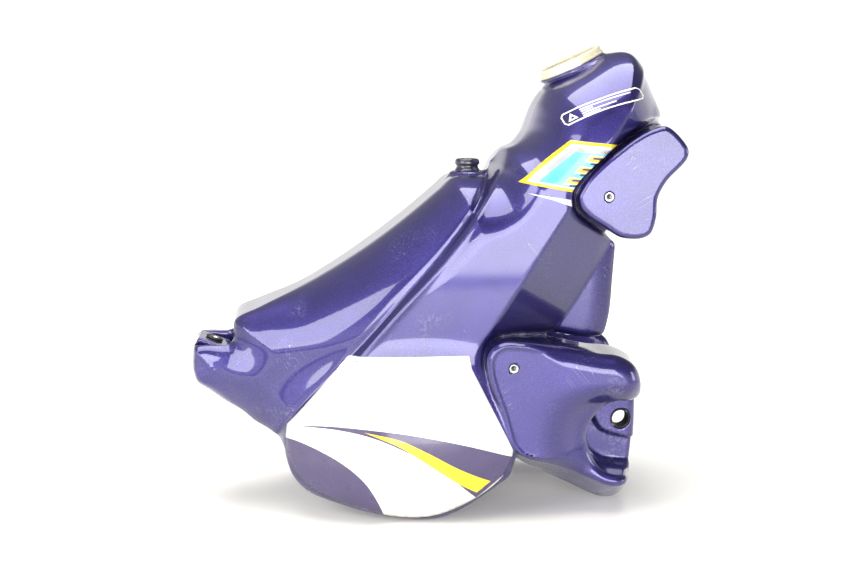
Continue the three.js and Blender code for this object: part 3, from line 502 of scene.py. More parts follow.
def surface_net(values, xs, ys, zs):
    """Quads of the surface where the lattice's values change sign."""
    inside = values < 0
    cells = [slice(0, n - 1) for n in values.shape]
    corners = [(a, b, c) for a in (0, 1) for b in (0, 1) for c in (0, 1)]
    count = np.zeros([n - 1 for n in values.shape], np.int8)
    for a, b, c in corners:
        count += inside[a:a + cells[0].stop, b:b + cells[1].stop, c:c + cells[2].stop]
    active = np.argwhere((count > 0) & (count < 8))
    index = np.full(count.shape, -1, np.int32)
    index[tuple(active.T)] = np.arange(len(active))
    at = {}
    for corner in corners:
        i, j, k = (active + corner).T
        at[corner] = (values[i, j, k], np.stack([xs[i], ys[j], zs[k]], axis=1))
    total = np.zeros((len(active), 3))
    hits = np.zeros(len(active))
    for first in corners:
        for axis in range(3):
            if first[axis]:
                continue
            second = tuple(1 if n == axis else first[n] for n in range(3))
            (va, pa), (vb, pb) = at[first], at[second]
            crossing = (va < 0) != (vb < 0)
            share = np.where(crossing, va / np.where(crossing, va - vb, 1), 0)[:, None]
            total += np.where(crossing[:, None], pa + share * (pb - pa), 0)
            hits += crossing
    points = total / hits[:, None]

    quads = []
    for axis in range(3):
        others = [n for n in range(3) if n != axis]
        near = [slice(None)] * 3
        far = [slice(None)] * 3
        near[axis], far[axis] = slice(0, -1), slice(1, None)
        for n in others:
            near[n] = far[n] = slice(1, -1)
        a, b = inside[tuple(near)], inside[tuple(far)]
        for flip, change in ((False, a & ~b), (True, ~a & b)):
            place = np.argwhere(change)
            for n in others:
                place[:, n] += 1
            ring = []
            for du, dv in ((0, 0), (1, 0), (1, 1), (0, 1)):
                cell = place.copy()
                cell[:, others[0]] -= 1 - du
                cell[:, others[1]] -= 1 - dv
                ring.append(index[tuple(cell.T)])
            quad = np.stack(ring, axis=1)
            if flip != (axis == 1):
                quad = quad[:, ::-1]
            quads.append(quad)
    return points, np.vstack(quads)


def settle(points, reach, rounds=3):
    """Moves points onto the shell's surface."""
    for _ in range(rounds):
        slope = slope_at(points)
        size = np.maximum((slope**2).sum(axis=1), 0.15)
        step = slope * (distance_at(points) / size)[:, None]
        length = np.linalg.norm(step, axis=1, keepdims=True)
        points = points - step * np.minimum(1, reach / np.maximum(length, 1e-9))
    return points


def placed(name, data):
    """New object, linked to the scene."""
    obj = bpy.data.objects.new(name, data)
    bpy.context.scene.collection.objects.link(obj)
    return obj


def mesh_object(name, points, faces, normals=None):
    """Object in metres from points in mm."""
    mesh = bpy.data.meshes.new(name)
    mesh.from_pydata((np.asarray(points) * MM).tolist(), [], [list(map(int, f)) for f in faces])
    mesh.update()
    mesh.polygons.foreach_set("use_smooth", [True] * len(mesh.polygons))
    if normals is not None:
        mesh.normals_split_custom_set_from_vertices(np.asarray(normals).tolist())
    return placed(name, mesh)


def set_attribute(obj, name, values):
    attribute = obj.data.attributes.new(name, "FLOAT", "POINT")
    attribute.data.foreach_set("value", np.asarray(values, np.float32))


def make_shell():
    step = 1.9
    xs = spaced(-246, 246, step, (98, 182))
    ys = spaced(-146, 146, step)
    zs = spaced(-7, 455, step, (392, 452))
    points, quads = surface_net(lattice_values(xs, ys, zs), xs, ys, zs)
    points = settle(points, reach=step / 2)
    normals = unit(slope_at(points))
    shell = mesh_object("painted_shell", points, quads, normals)

    radius, _, height = in_neck(*points.T)
    on_neck = radius < THREAD_RADIUS + 1
    bare = np.maximum(smoothstep(height, -8.6, -7.6) * on_neck, (radius < NECK_BORE + 1.5) * on_neck)
    above = distance_at(points + normals * 2.5)
    set_attribute(shell, "bare", bare)
    set_attribute(shell, "groove", np.clip((2.5 - above) / 1.5, 0, 1))
    return shell


shell = make_shell()
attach(shell, "tank")
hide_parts("tank_shell")

# ---- materials


class Look:
    """A material under construction. Its methods add nodes and hand back their output sockets."""

    def __init__(self, name, roughness=0.4, metallic=0.0, coat=0.0, coat_roughness=0.05):
        self.material = bpy.data.materials.new(name)
        self.material.use_nodes = True
        self.tree = self.material.node_tree
        self.surface = self.tree.nodes["Principled BSDF"]
        self.place = self.node("ShaderNodeTexCoord").outputs["Object"]
        self.put("Roughness", roughness)
        self.put("Metallic", metallic)
        self.put("Coat Weight", coat)
        self.put("Coat Roughness", coat_roughness)

    def connect(self, socket, value):
        if isinstance(value, bpy.types.NodeSocket):
            self.tree.links.new(value, socket)
        elif isinstance(value, tuple) and len(value) == 3 and socket.type == "RGBA":
            socket.default_value = (*value, 1)
        else:
            socket.default_value = value

    def put(self, name, value):
        self.connect(self.surface.inputs[name], value)

    def node(self, kind, inputs=(), **settings):
        node = self.tree.nodes.new(kind)
        for key, value in settings.items():
            setattr(node, key, value)
        for key, value in dict(inputs).items():
            self.connect(node.inputs[key], value)
        return node

    def stretched(self, scale, turn=(0, 0, 0)):
        """Object coordinates, turned and then scaled along each axis."""
        turned = self.node("ShaderNodeMapping", {"Vector": self.place, "Rotation": turn})
        return self.node("ShaderNodeMapping", {"Vector": turned.outputs[0], "Scale": scale}).outputs[0]

    def noise(self, scale, detail=3.0, place=None):
        made = self.node("ShaderNodeTexNoise", {"Vector": place or self.place, "Scale": scale,
                                                "Detail": detail})
        return made.outputs[0]

    def ramp(self, value, low, high, start=0.0, end=1.0):
        made = self.node("ShaderNodeMapRange", {
            "Value": value, "From Min": low, "From Max": high, "To Min": start, "To Max": end,
        }, interpolation_type="SMOOTHSTEP")
        return made.outputs["Result"]

    def patches(self, scale, detail, low, high, start=0.0, end=1.0):
        """Noise that goes from start to end where it rises from low to high."""
        return self.ramp(self.noise(scale, detail), low, high, start, end)

    def math(self, operation, first, second=0.0):
        made = self.node("ShaderNodeMath", operation=operation)
        self.connect(made.inputs[0], first)
        self.connect(made.inputs[1], second)
        return made.outputs[0]

    def times(self, first, second):
        return self.math("MULTIPLY", first, second)

    def most(self, first, second):
        return self.math("MAXIMUM", first, second)

    def mix(self, share, first, second):
        made = self.node("ShaderNodeMix", data_type="RGBA")
        self.connect(made.inputs[0], share)
        self.connect(made.inputs[6], first)
        self.connect(made.inputs[7], second)
        return made.outputs[2]

    def attribute(self, name):
        return self.node("ShaderNodeAttribute", attribute_name=name).outputs["Fac"]

    def near(self, centre, reach):
        """1 at a place in the side view, in mm, falling to 0 at its reach."""
        offset = self.node("ShaderNodeMapping", {
            "Vector": self.place,
            "Location": (-centre[0] / reach[0], 0, -centre[1] / reach[1]),
            "Scale": (1000 / reach[0], 0, 1000 / reach[1]),
        }).outputs[0]
        length = self.node("ShaderNodeVectorMath", {0: offset}, operation="LENGTH").outputs["Value"]
        return self.ramp(length, 1.0, 0.2)

    def scratches(self, turn, seldom, width=0.006):
        """Fine lines along one direction, in patches."""
        lines = self.noise(1.0, 1.0, self.stretched((14, 260, 260), (0, turn, 0)))
        line = self.ramp(self.math("ABSOLUTE", self.math("SUBTRACT", lines, 0.5)), 0.0, width, 1.0, 0.0)
        patch = self.noise(16.0, 2.0, self.stretched((1, 1, 1), (turn, 0.6, 0)))
        return self.times(line, self.ramp(patch, seldom, seldom + 0.07))

    def bump(self, height, strength, depth):
        """Bump of a depth in mm."""
        made = self.node("ShaderNodeBump", {"Strength": strength, "Distance": depth * MM,
                                            "Height": height})
        self.put("Normal", made.outputs[0])


PAINT_DEEP = (0.017, 0.012, 0.095)
PAINT_BRIGHT = (0.026, 0.018, 0.145)
PAINT_FLAKE = (0.10, 0.08, 0.36)
PAINT_DULL = (0.42, 0.39, 0.52)  # scratched or rubbed
DUST = (0.055, 0.045, 0.06)
BARE_PLASTIC = (0.66, 0.62, 0.44)
BARE_PLASTIC_SHADE = (0.56, 0.50, 0.33)
RUBBED_PLACES = (((-140, 100), (70, 32)), ((70, 60), (60, 30)), ((175, 60), (60, 50)))  # centre, reach


def violet_paint():
    """Metallic paint under a clear coat, worn in places, with dust in its grooves."""
    look = Look("violet_paint", coat=1, coat_roughness=0.06)
    look.put("Coat IOR", 1.6)
    flakes = look.patches(1700, 2, 0.46, 0.72)
    clouds = look.patches(7, 4, 0.3, 0.7)
    deep = look.mix(clouds, PAINT_DEEP, PAINT_BRIGHT)
    colour = look.mix(look.times(flakes, 0.55), deep, PAINT_FLAKE)
    lines = look.most(look.scratches(0.5, 0.60), look.scratches(-0.9, 0.62))
    first, second, third = (look.near(*place) for place in RUBBED_PLACES)
    rub = look.most(look.most(first, second), third)
    rub = look.math("ADD", look.times(rub, 0.2), look.noise(22, 5))
    haze = look.times(look.ramp(rub, 0.62, 0.86), look.patches(330, 4, 0.42, 0.62))
    dull = look.most(look.times(lines, 0.5), look.times(haze, 0.22))
    colour = look.mix(dull, colour, PAINT_DULL)
    groove = look.attribute("groove")
    dust = look.times(groove, look.patches(60, 4, 0.40, 0.70))
    colour = look.mix(look.times(dust, 0.55), colour, DUST)
    bare = look.attribute("bare")
    stain = look.patches(90, 4, 0.35, 0.7)
    plastic = look.mix(stain, BARE_PLASTIC, BARE_PLASTIC_SHADE)
    look.put("Base Color", look.mix(bare, colour, plastic))
    painted = look.math("SUBTRACT", 1, look.most(bare, look.times(dull, 1.3)))
    look.put("Metallic", look.times(painted, 0.82))
    rough = look.patches(45, 4, 0.3, 0.7, 0.38, 0.47)
    look.put("Roughness", look.math("ADD", rough, look.times(look.most(dull, bare), 0.25)))
    waviness = look.math("ADD", look.noise(38, 2), look.times(lines, -0.04))
    look.bump(waviness, 0.10, 0.6)
    return look.material


def printed(name, colour, shade, roughness=0.3):
    """Vinyl film: slightly uneven ink, hairline scratches and grey rub marks."""
    look = Look(name, coat=0.5, coat_roughness=0.08)
    ink = look.mix(look.patches(26, 4, 0.3, 0.75), colour, shade)
    grain = look.patches(2400, 2, 0.35, 0.7, 0, 0.12)
    ink = look.mix(grain, ink, shade)
    lines = look.scratches(0.3, 0.60, 0.005)
    rub = look.times(look.patches(12, 5, 0.58, 0.76), 0.10)
    worn = look.math("ADD", look.times(lines, 0.22), rub)
    look.put("Base Color", look.mix(worn, ink, (0.36, 0.34, 0.33)))
    look.put("Roughness", look.patches(70, 3, 0.3, 0.7, roughness - 0.06, roughness + 0.12))
    look.bump(look.noise(300, 2), 0.06, 0.1)
    return look.material


def moulded_rubber():
    look = Look("moulded_rubber")
    grey = look.patches(140, 5, 0.45, 0.75)
    look.put("Base Color", look.mix(grey, (0.018, 0.018, 0.016), (0.075, 0.07, 0.05)))
    look.put("Roughness", look.patches(60, 3, 0.3, 0.7, 0.55, 0.8))
    look.bump(look.noise(1500, 3), 0.3, 0.15)
    return look.material


def glossy_plastic():
    look = Look("glossy_plastic", coat=0.6, coat_roughness=0.08)
    worn = look.times(look.patches(180, 5, 0.56, 0.72), 0.5)
    look.put("Base Color", look.mix(worn, (0.016, 0.014, 0.03), (0.12, 0.11, 0.15)))
    look.put("Roughness", look.patches(120, 3, 0.3, 0.7, 0.22, 0.42))
    look.bump(look.noise(900, 2), 0.1, 0.08)
    return look.material


def metal(name, colour, shade, low, high, grain=(60, 60, 900)):
    """Metal with turning marks, dull patches and a little grime."""
    look = Look(name, metallic=1)
    marks = look.noise(1, 2, look.stretched(grain))
    tarnish = look.patches(240, 5, 0.45, 0.75)
    look.put("Base Color", look.mix(tarnish, colour, shade))
    look.put("Roughness", look.ramp(look.math("ADD", look.times(marks, 0.4), look.times(tarnish, 0.6)),
                                    0.2, 0.8, low, high))
    look.bump(marks, 0.25, 0.05)
    return look.material


def cast_metal():
    look = Look("cast_metal", metallic=0.9)
    grime = look.patches(110, 5, 0.42, 0.72)
    look.put("Base Color", look.mix(grime, (0.46, 0.46, 0.45), (0.16, 0.15, 0.13)))
    look.put("Roughness", look.patches(420, 3, 0.3, 0.7, 0.42, 0.62))
    look.bump(look.noise(1100, 4), 0.45, 0.2)
    return look.material


def woven_mesh():
    look = Look("woven_mesh")
    warp = look.node("ShaderNodeTexWave", {"Vector": look.place, "Scale": 420}, bands_direction="Z")
    weft = look.node("ShaderNodeTexWave", {"Vector": look.place, "Scale": 420},
                     bands_direction="DIAGONAL")
    weave = look.times(warp.outputs["Fac"], weft.outputs["Fac"])
    stained = look.mix(look.patches(90, 4, 0.3, 0.7), (0.75, 0.66, 0.42), (0.55, 0.43, 0.2))
    look.put("Base Color", look.mix(weave, (0.2, 0.15, 0.07), stained))
    look.put("Roughness", look.ramp(weave, 0, 1, 0.75, 0.45))
    look.bump(weave, 0.6, 0.25)
    return look.material


def glowing_studio_surface(name, colour, shade):
    """Matt white sweep with faint clouds, a few specks and a painted glow, stronger far back."""
    look = Look(name)
    split = look.node("ShaderNodeSeparateXYZ", {0: look.place})
    # painted glow: the sweep gives off its own light, dim by the tank and bright far behind it
    look.put("Emission Color", (1, 0.985, 0.95))
    look.put("Emission Strength", look.ramp(split.outputs["Y"], 0.2, 1.3, 0.12, 0.75))
    clouds = look.mix(look.patches(2.2, 5, 0.35, 0.7), colour, shade)
    specks = look.times(look.patches(260, 2, 0.735, 0.76), look.patches(5, 3, 0.48, 0.6))
    look.put("Base Color", look.mix(look.times(specks, 0.5), clouds, (0.35, 0.30, 0.22)))
    look.put("Roughness", look.patches(30, 3, 0.3, 0.7, 0.5, 0.65))
    look.bump(look.noise(500, 3), 0.08, 0.2)
    return look.material


PAINT = violet_paint()
WHITE_FILM = printed("white_film", (0.80, 0.78, 0.69), (0.75, 0.72, 0.61))
VIOLET_PRINT = printed("violet_print", (0.055, 0.040, 0.115), (0.044, 0.032, 0.095))
YELLOW_PRINT = printed("yellow_print", (0.82, 0.62, 0.012), (0.74, 0.50, 0.010))
CYAN_PRINT = printed("cyan_print", (0.16, 0.62, 0.74), (0.07, 0.44, 0.66))
GREY_PRINT = printed("grey_print", (0.36, 0.36, 0.36), (0.28, 0.28, 0.29))
DARK_PRINT = printed("dark_print", (0.022, 0.022, 0.030), (0.04, 0.04, 0.05))
RUBBER = moulded_rubber()
PLASTIC = glossy_plastic()
STEEL = metal("plated_steel", (0.66, 0.65, 0.62), (0.33, 0.31, 0.28), 0.2, 0.5)
BRASS = metal("turned_brass", (0.72, 0.53, 0.24), (0.36, 0.25, 0.11), 0.25, 0.5)
ZINC = cast_metal()
MESH = woven_mesh()
shell.data.materials.append(PAINT)

# ---- printed films

FILM_LIFT = 0.35  # from the paint to the film's face
FILM_UNDER = 0.05  # from the paint to its back
FILM_GRID = 2.5
OUTSIDE = 150  # a half width beyond the whole shell
WING_FILM_TOP = [(-86, 158), (26, 158), (28, 146)]
WING_FILM_EDGE = [
    (66, 70), (63, 56), (52, 39), (27, 21), (-12, 6), (-56, 8), (-98, 20), (-127, 35), (-140, 52),
    (-145, 72), (-144, 90),
]
WING_SWOOSH = (
    [(-140, 91), (-96, 94), (-42, 91), (13, 80), (75, 61)],
    [(-140, 91), (-96, 91), (-65, 86), (-33, 73), (0, 53), (32, 24)],
)
WING_STRIPE = (
    [(-73, 91), (-42, 85), (-14, 72), (14, 56), (45, 41)],
    [(-73, 91), (-42, 79), (-14, 61), (10, 44), (32, 30)],
)
WING_FLASH_TOP = [(-150, 79), (-132, 76), (-114, 70), (-92, 59), (-73, 43), (-61, 24), (-52, 2)]
BADGE = [
    (74, 318.5), (121.5, 357.5), (167, 353), (155, 343.5), (143, 334), (131, 322.5), (125, 315),
    (122, 309.8),
]
BADGE_WHITE = [(81, 319.7), (122.6, 354.2), (182, 348.4), (182, 302.5)]
BADGE_GREY = [(86, 320.3), (123.4, 351.6), (182, 345.8), (182, 304)]
BADGE_FIELD = [(91, 319.5), (125, 347), (182, 341.3), (182, 304)]
BADGE_BARS = ((147, 338.5), (137, 328.5), (127, 318.5))  # left ends of the three slanted bars
BADGE_SLIVER = [(81, 308.8), (121, 302.6), (122, 296.4), (104, 302.6)]
LABEL_TOP = [(114.6, 379.5), (130, 388), (148.8, 395.4), (168, 402), (186.2, 407)]
LABEL_BOTTOM = [(118.9, 369.5), (135, 378), (153.7, 385.4), (175, 391.6), (196.8, 396.2)]
LABEL_BAND = 0.055  # width of the outline as a part of the label's height, and less along it


def stroke(upper, lower):
    """Outline between two smooth lines that start at one point."""
    return np.vstack([smooth_curve(upper), smooth_curve(lower)[::-1]])


def within(outline, x, z):
    return inside_distance(np.asarray(outline, float), x, z) > 0


def densely(outline, spacing):
    """Points along a closed outline, no further apart than spacing."""
    out = []
    outline = np.asarray(outline, float)
    for a, b in zip(outline, np.roll(outline, -1, axis=0)):
        count = max(1, math.ceil(np.linalg.norm(b - a) / spacing))
        out.extend(a + (b - a) * n / count for n in range(count))
    return np.array(out)


def on_surface(x, z, side):
    """Points of the shell's outer surface, seen from one side."""
    y = np.full(len(x), float(OUTSIDE)) * side
    for _ in range(60):
        gap = distance_at(np.stack([x, y, z], axis=1))
        y = y - side * np.clip(gap, -4, 4) * 0.85
    return np.stack([x, y, z], axis=1)


def make_film(name, side, outline, prints, base):
    """Thin film on the shell. prints are outlines, each with its material, the last on top."""
    outline = densely(outline, 2)
    rings = [outline]
    for shape, _ in prints:
        ring = densely(shape, 2)
        rings.append(ring[within(outline, *ring.T)])
    points, edges = [], []
    for ring in rings:
        start = len(points)
        points.extend(map(Vector, ring))
        for n in range(len(ring)):
            following = (n + 1) % len(ring)
            if np.linalg.norm(ring[n] - ring[following]) < 3:
                edges.append((start + n, start + following))
    spans = [np.arange(a, b, FILM_GRID) for a, b in zip(outline.min(axis=0), outline.max(axis=0))]
    grid = np.stack(np.meshgrid(*spans, indexing="ij"), axis=-1).reshape(-1, 2)
    grid = grid[inside_distance(outline, *grid.T) > FILM_GRID * 0.6]
    points.extend(map(Vector, grid))
    flat, _, faces, *_ = delaunay_2d_cdt(points, edges, [], 0, 1e-4)
    flat = np.array([tuple(p) for p in flat])
    faces = np.array([f for f in faces if len(f) == 3])
    middle = flat[faces].mean(axis=1)
    kept = within(outline, *middle.T)
    faces, middle = faces[kept], middle[kept]

    on_shell = on_surface(flat[:, 0], flat[:, 1], side)
    normals = unit(slope_at(on_shell))
    top = on_shell + normals * FILM_LIFT
    under = on_shell + normals * FILM_UNDER
    first, second, third = (on_shell[faces[:, n]] for n in range(3))
    turned_over = np.cross(second - first, third - first)[:, 1] * side < 0
    faces[turned_over] = faces[turned_over][:, ::-1]
    count = len(flat)
    sides = {(f[a], f[b]) for f in faces for a, b in ((0, 1), (1, 2), (2, 0))}
    skirt = [(b, a, a + count, b + count) for a, b in sorted(sides) if (b, a) not in sides]
    everything = [tuple(f) for f in faces] + [tuple(f[::-1] + count) for f in faces] + skirt
    obj = mesh_object(name, np.vstack([top, under]), everything)
    finishes = [base] + [finish for _, finish in prints]
    unique = list(dict.fromkeys(finishes))
    for finish in unique:
        obj.data.materials.append(finish)
    index = np.zeros(len(everything), np.int32)
    for shape, finish in prints:
        index[:len(faces)][within(shape, *middle.T)] = unique.index(finish)
    obj.data.polygons.foreach_set("material_index", index)
    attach(obj, "tank")
    return obj


def slanted_bar(x, z, length, height):
    return [(x, z), (x + length, z - 0.1 * length), (x + length + height, z + height - 0.1 * length),
            (x + height, z + height)]


def badge_prints():
    """Frame, shaded field and three slanted bars that run off the pad's edge."""
    prints = [(BADGE_WHITE, WHITE_FILM), (BADGE_GREY, GREY_PRINT), (BADGE_FIELD, CYAN_PRINT)]
    for x, z in BADGE_BARS:
        prints.append((slanted_bar(x - 9, z - 3.4, 50, 3.2), DARK_PRINT))
        prints.append((slanted_bar(x - 14, z - 1, 60, 6.4), WHITE_FILM))
        prints.append((slanted_bar(x - 12, z, 60, 4.6), YELLOW_PRINT))
        prints.append((slanted_bar(x - 7, z + 1.5, 60, 1.9), VIOLET_PRINT))
    return prints


def on_label(along, up):
    """Point of the label's curved band, from its lower left corner."""
    top = smooth_curve(LABEL_TOP)
    bottom = smooth_curve(LABEL_BOTTOM)
    place = along * (len(top) - 1)
    steps = np.arange(len(top))
    low, high = (np.array([np.interp(place, steps, line[:, n]) for n in (0, 1)])
                 for line in (bottom, top))
    return low + (high - low) * up


def label_box(left, low, right, high, round_off=0.0):
    """Outline of a box on the label, its corners rounded off by a part of the label's height."""
    along = round_off / 6
    corners = [
        (left + along, low), (right - along, low), (right, low + round_off), (right, high - round_off),
        (right - along, high), (left + along, high), (left, high - round_off), (left, low + round_off),
    ] if round_off else [(left, low), (right, low), (right, high), (left, high)]
    outline = densely(corners, 0.05)
    return np.array([on_label(u, v) for u, v in outline])


def label_prints():
    """Clear label with a white outline, a plain triangle and bars where the original has words."""
    edge = LABEL_BAND
    prints = [(label_box(edge / 3, edge * 1.9, 1 - edge / 3, 1 - edge * 1.9, 0.14), PAINT)]
    prints.append(([on_label(u, v) for u, v in ((0.06, 0.24), (0.19, 0.24), (0.125, 0.80))], WHITE_FILM))
    prints.append(([on_label(u, v) for u, v in ((0.10, 0.34), (0.15, 0.34), (0.125, 0.58))], PAINT))
    for row, (start, end) in enumerate(((0.25, 0.86), (0.25, 0.40), (0.25, 0.66), (0.25, 0.46))):
        level = 0.76 - row * 0.17
        prints.append((label_box(start, level - 0.08, end, level), WHITE_FILM))
    return prints


def make_films():
    for name, side in (("right", -1), ("left", 1)):
        outline = np.vstack([WING_FILM_TOP, smooth_curve(WING_FILM_EDGE, per_span=4)])
        flash = np.vstack([smooth_curve(WING_FLASH_TOP), [(-150, 0)]])
        wing = make_film(f"wing_film_{name}", side, outline, [
            (flash, VIOLET_PRINT),
            (stroke(*WING_SWOOSH), VIOLET_PRINT),
            (stroke(*WING_STRIPE), YELLOW_PRINT),
        ], WHITE_FILM)
        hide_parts(f"wing_decal_{name}")
        badge = make_film(f"badge_film_{name}", side, BADGE, badge_prints(), YELLOW_PRINT)
        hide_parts(f"badge_{name}")
        make_film(f"badge_sliver_{name}", side, BADGE_SLIVER, [], WHITE_FILM)
    outline = label_box(0, 0, 1, 1, 0.22)
    label = make_film("label_film", -1, outline, label_prints(), WHITE_FILM)
    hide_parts("warning_label")


make_films()

# ---- small turned pieces

TURNED_SIDES = 64


def turned(name, profile, foot, axis, finish, slot, replaced, hexagons=()):
    """Ring of the given profile, as (radius, height) pairs around an axis from its foot.

    The profile points numbered in hexagons are six-sided, as in a screw's socket."""
    angles = np.arange(TURNED_SIDES) * 2 * math.pi / TURNED_SIDES
    flat = math.cos(math.pi / 6) / np.cos((angles + math.pi / 6) % (math.pi / 3) - math.pi / 6)
    across = Vector(axis).normalized().orthogonal().normalized()
    along = Vector(axis).normalized()
    third = along.cross(across)
    points, rows = [], len(profile)
    for number, (radius, height) in enumerate(profile):
        radii = radius * (flat if number in hexagons else np.ones(TURNED_SIDES))
        for angle, r in zip(angles, radii):
            points.append(Vector(foot) + along * height + across * (r * math.cos(angle))
                          + third * (r * math.sin(angle)))
    faces = []
    for row in range(rows):
        after = (row + 1) % rows
        for n in range(TURNED_SIDES):
            m = (n + 1) % TURNED_SIDES
            faces.append((row * TURNED_SIDES + n, row * TURNED_SIDES + m,
                          after * TURNED_SIDES + m, after * TURNED_SIDES + n))
    obj = mesh_object(name, [tuple(p) for p in points], faces)
    bm = bmesh.new()
    bm.from_mesh(obj.data)
    bmesh.ops.recalc_face_normals(bm, faces=bm.faces)
    for edge in bm.edges:
        edge.smooth = edge.calc_face_angle(0) < math.radians(38)
    bm.to_mesh(obj.data)
    bm.free()
    obj.data.materials.append(finish)
    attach(obj, "tank")
    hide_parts(replaced)


def insert_profile():
    """Threaded insert: a chamfered ring, its thread cut as grooves."""
    outer = [(INSERT_BORE, -INSERT_LENGTH), (INSERT_RADIUS, -INSERT_LENGTH), (INSERT_RADIUS, -0.6),
             (INSERT_RADIUS - 0.4, -0.05), (INSERT_BORE + 0.8, -0.05), (INSERT_BORE + 0.1, -0.8)]
    thread = []
    for turn in range(10):
        thread += [(INSERT_BORE + 0.4, -1.3 - turn), (INSERT_BORE, -1.8 - turn)]
    return outer + thread


def make_inserts():
    for name, seat in (("upper", UPPER_INSERT), ("lower", LOWER_INSERT)):
        for hand, side in (("right", -1), ("left", 1)):
            foot = (seat[0], side * seat[2], seat[1])
            turned(f"ring_insert_{name}_{hand}", insert_profile(), foot, (0, side, 0), STEEL, "steel",
                   f"insert_{name}_{hand}")


def make_bushes():
    """Rubber liners of the front lugs, with rounded lips."""
    low, high = 42.5, 61.5
    profile = [(8.6, low), (9.1, low), (9.4, low + 0.4), (9.4, high - 0.4), (9.1, high), (8.6, high),
               (8.1, high - 0.5), (8.0, high - 1.6), (8.0, low + 1.6), (8.1, low + 0.5)]
    for hand, side in (("right", -1), ("left", 1)):
        turned(f"lug_liner_{hand}", profile, (LUG_CENTRE[0], 0, LUG_CENTRE[1]), (0, side, 0), RUBBER,
               "rubber", f"front_bush_{hand}")


def make_seat_hook():
    """Spool that the seat's tongue hooks on, and the socket screw that holds it."""
    foot = (SEAT_POST[0], 0, SEAT_POST[1])
    rim = smooth_curve([(12.5, 0.9), (12.3, 1.7), (11.2, 3.2), (10.6, 5.4), (10.9, 6.6), (11.9, 7.5),
                        (12.1, 9.0), (11.7, 11.0), (10.8, 12.3), (9.2, 12.95)], per_span=4)
    spool = [(3.3, 0.3), (12.2, 0.3), *map(tuple, rim), (7.4, 13), (6.7, 12.5), (6.6, 8.5), (3.3, 8.5)]
    turned("seat_spool", spool, foot, (0, 0, 1), PLASTIC, "dark_plastic", "seat_hook_collar")
    head = SEAT_POST[1] + 8.8
    screw = [(0.02, -20), (2.4, -20), (3, -19.3), (3, 0), (6, 0), (6, 3.1), (5.4, 3.8), (3.4, 3.8),
             (2.9, 3.4), (2.9, 1.4), (0.02, 1.2)]
    turned("seat_screw", screw, (SEAT_POST[0], 0, head), (0, 0, 1), STEEL, "steel", "seat_hook_bolt",
           hexagons=(8, 9))


def make_rear_mount():
    """Grommet with rounded flanges around a steel sleeve."""
    run, _ = tongue_run()
    up = (-run[1], 0, run[0])
    at = np.array(TONGUE_FROM) + run * TONGUE_BORE_AT
    foot = (at[0], 0, at[1])
    low = -TONGUE_THICKNESS
    grommet = [(4.7, low - 2.3), (8.0, low - 2.3), (8.5, low - 1.8), (8.5, low - 0.8), (8.1, low - 0.35),
               (6.7, low - 0.3), (6.7, 0.3), (8.1, 0.35), (8.5, 0.8), (8.5, 1.8), (8.0, 2.3), (4.7, 2.3)]
    turned("rear_rubber", grommet, foot, up, RUBBER, "rubber", "rear_grommet")
    sleeve = [(3.3, low - 2.3), (4.1, low - 2.3), (4.3, low - 2.1), (4.3, 2.1), (4.1, 2.3), (3.3, 2.3),
              (3.2, 2.1), (3.2, low - 2.1)]
    turned("rear_tube", sleeve, foot, up, STEEL, "steel", "rear_sleeve")


make_inserts()
make_bushes()
make_seat_hook()
make_rear_mount()

# ---- carried-over tap and inserts

CARRIED_OVER = {
    "seat_hook_insert": BRASS,
    "tap_insert": BRASS,
    "tap_standpipe": BRASS,
    "tap_body": ZINC,
    "tap_lever": ZINC,
    "tap_cover_plate": STEEL,
    "tap_cover_screw": STEEL,
    "tap_screw": STEEL,
    "tap_wave_washer": STEEL,
    "tap_gasket": RUBBER,
    "tap_valve_seal": RUBBER,
    "tap_strainer": MESH,
}
BEVELLED = ("tap_body", "tap_lever", "tap_cover_plate")

for node, obj in sorted(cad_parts.items()):
    for start, finish in CARRIED_OVER.items():
        if not node.startswith(start):
            continue
        obj.data.materials.clear()
        obj.data.materials.append(finish)
        if node in BEVELLED:
            bevel = obj.modifiers.new("soft_edges", "BEVEL")
            bevel.width = 0.5 * MM
            bevel.segments = 2
            bevel.angle_limit = math.radians(50)

# ---- stage, light and camera


FLOOR = glowing_studio_surface("glowing_floor_sweep", (0.90, 0.885, 0.85), (0.86, 0.84, 0.79))
floor_mesh = bpy.data.meshes.new("floor")
floor_mesh.from_pydata([(-4, -4, 0), (4, -4, 0), (4, 4, 0), (-4, 4, 0)], [], [(0, 1, 2, 3)])
floor_mesh.materials.append(FLOOR)
placed("floor", floor_mesh)


HORIZON_LIGHT = 1.15
SIDE_LIGHT = 0.35
ROOM_LIGHT = 0.15


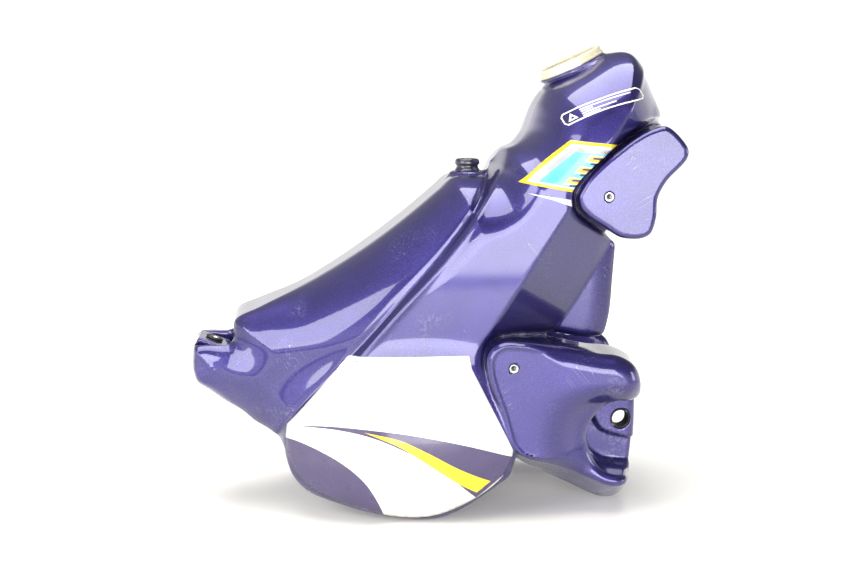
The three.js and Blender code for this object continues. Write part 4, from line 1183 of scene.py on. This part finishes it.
def studio_world():
    """Bright all round at the horizon, dim above it, and brighter on the left."""
    world = bpy.data.worlds.new("studio")
    bpy.context.scene.world = world
    world.use_nodes = True
    nodes, links = world.node_tree.nodes, world.node_tree.links
    where = nodes.new("ShaderNodeTexCoord")
    split = nodes.new("ShaderNodeSeparateXYZ")
    links.new(where.outputs["Generated"], split.inputs[0])

    def ramp(source, low, high, start, end):
        node = nodes.new("ShaderNodeMapRange")
        node.interpolation_type = "SMOOTHSTEP"
        links.new(source, node.inputs["Value"])
        for name, value in (("From Min", low), ("From Max", high), ("To Min", start), ("To Max", end)):
            node.inputs[name].default_value = value
        return node.outputs["Result"]

    total = nodes.new("ShaderNodeMath")
    links.new(ramp(split.outputs["Z"], 0.10, 0.34, HORIZON_LIGHT, ROOM_LIGHT), total.inputs[0])
    links.new(ramp(split.outputs["X"], -0.9, 0.2, SIDE_LIGHT, 0.0), total.inputs[1])
    links.new(total.outputs[0], nodes["Background"].inputs["Strength"])
    nodes["Background"].inputs["Color"].default_value = (1.0, 0.985, 0.96, 1)


studio_world()


def area_light(name, place, aim, size, power):
    light = bpy.data.lights.new(name, "AREA")
    light.shape = "RECTANGLE"
    light.size, light.size_y = size
    light.energy = power
    obj = placed(name, light)
    obj.location = place
    obj.rotation_euler = (Vector(aim) - Vector(place)).to_track_quat("-Z", "Y").to_euler()
    obj.visible_camera = False


area_light("front_box", (0.05, -1.75, 0.44), (0.0, 0, 0.30), (1.4, 0.84), 27)
area_light("left_window", (-1.55, -1.15, 0.95), (0, 0, 0.25), (1.2, 1.3), 29)
area_light("overhead", (-0.1, 0.0, 2.1), (0, 0, 0.2), (2.2, 1.6), 58)
area_light("right_strip", (1.8, -0.4, 0.5), (0, 0, 0.2), (0.5, 0.7), 5)

camera_data = bpy.data.cameras.new("camera")
camera_data.sensor_width = 36
camera_data.lens = 62.79
camera = placed("camera", camera_data)
camera.location = (-0.1425, -1.480, 0.4071)
yaw, drop = math.radians(5.5), math.radians(7.6)
aim = Vector((math.sin(yaw) * math.cos(drop), math.cos(yaw) * math.cos(drop), -math.sin(drop)))
camera.rotation_euler = aim.to_track_quat("-Z", "Y").to_euler()
bpy.context.scene.camera = camera
bpy.context.scene.view_settings.view_transform = "Standard"
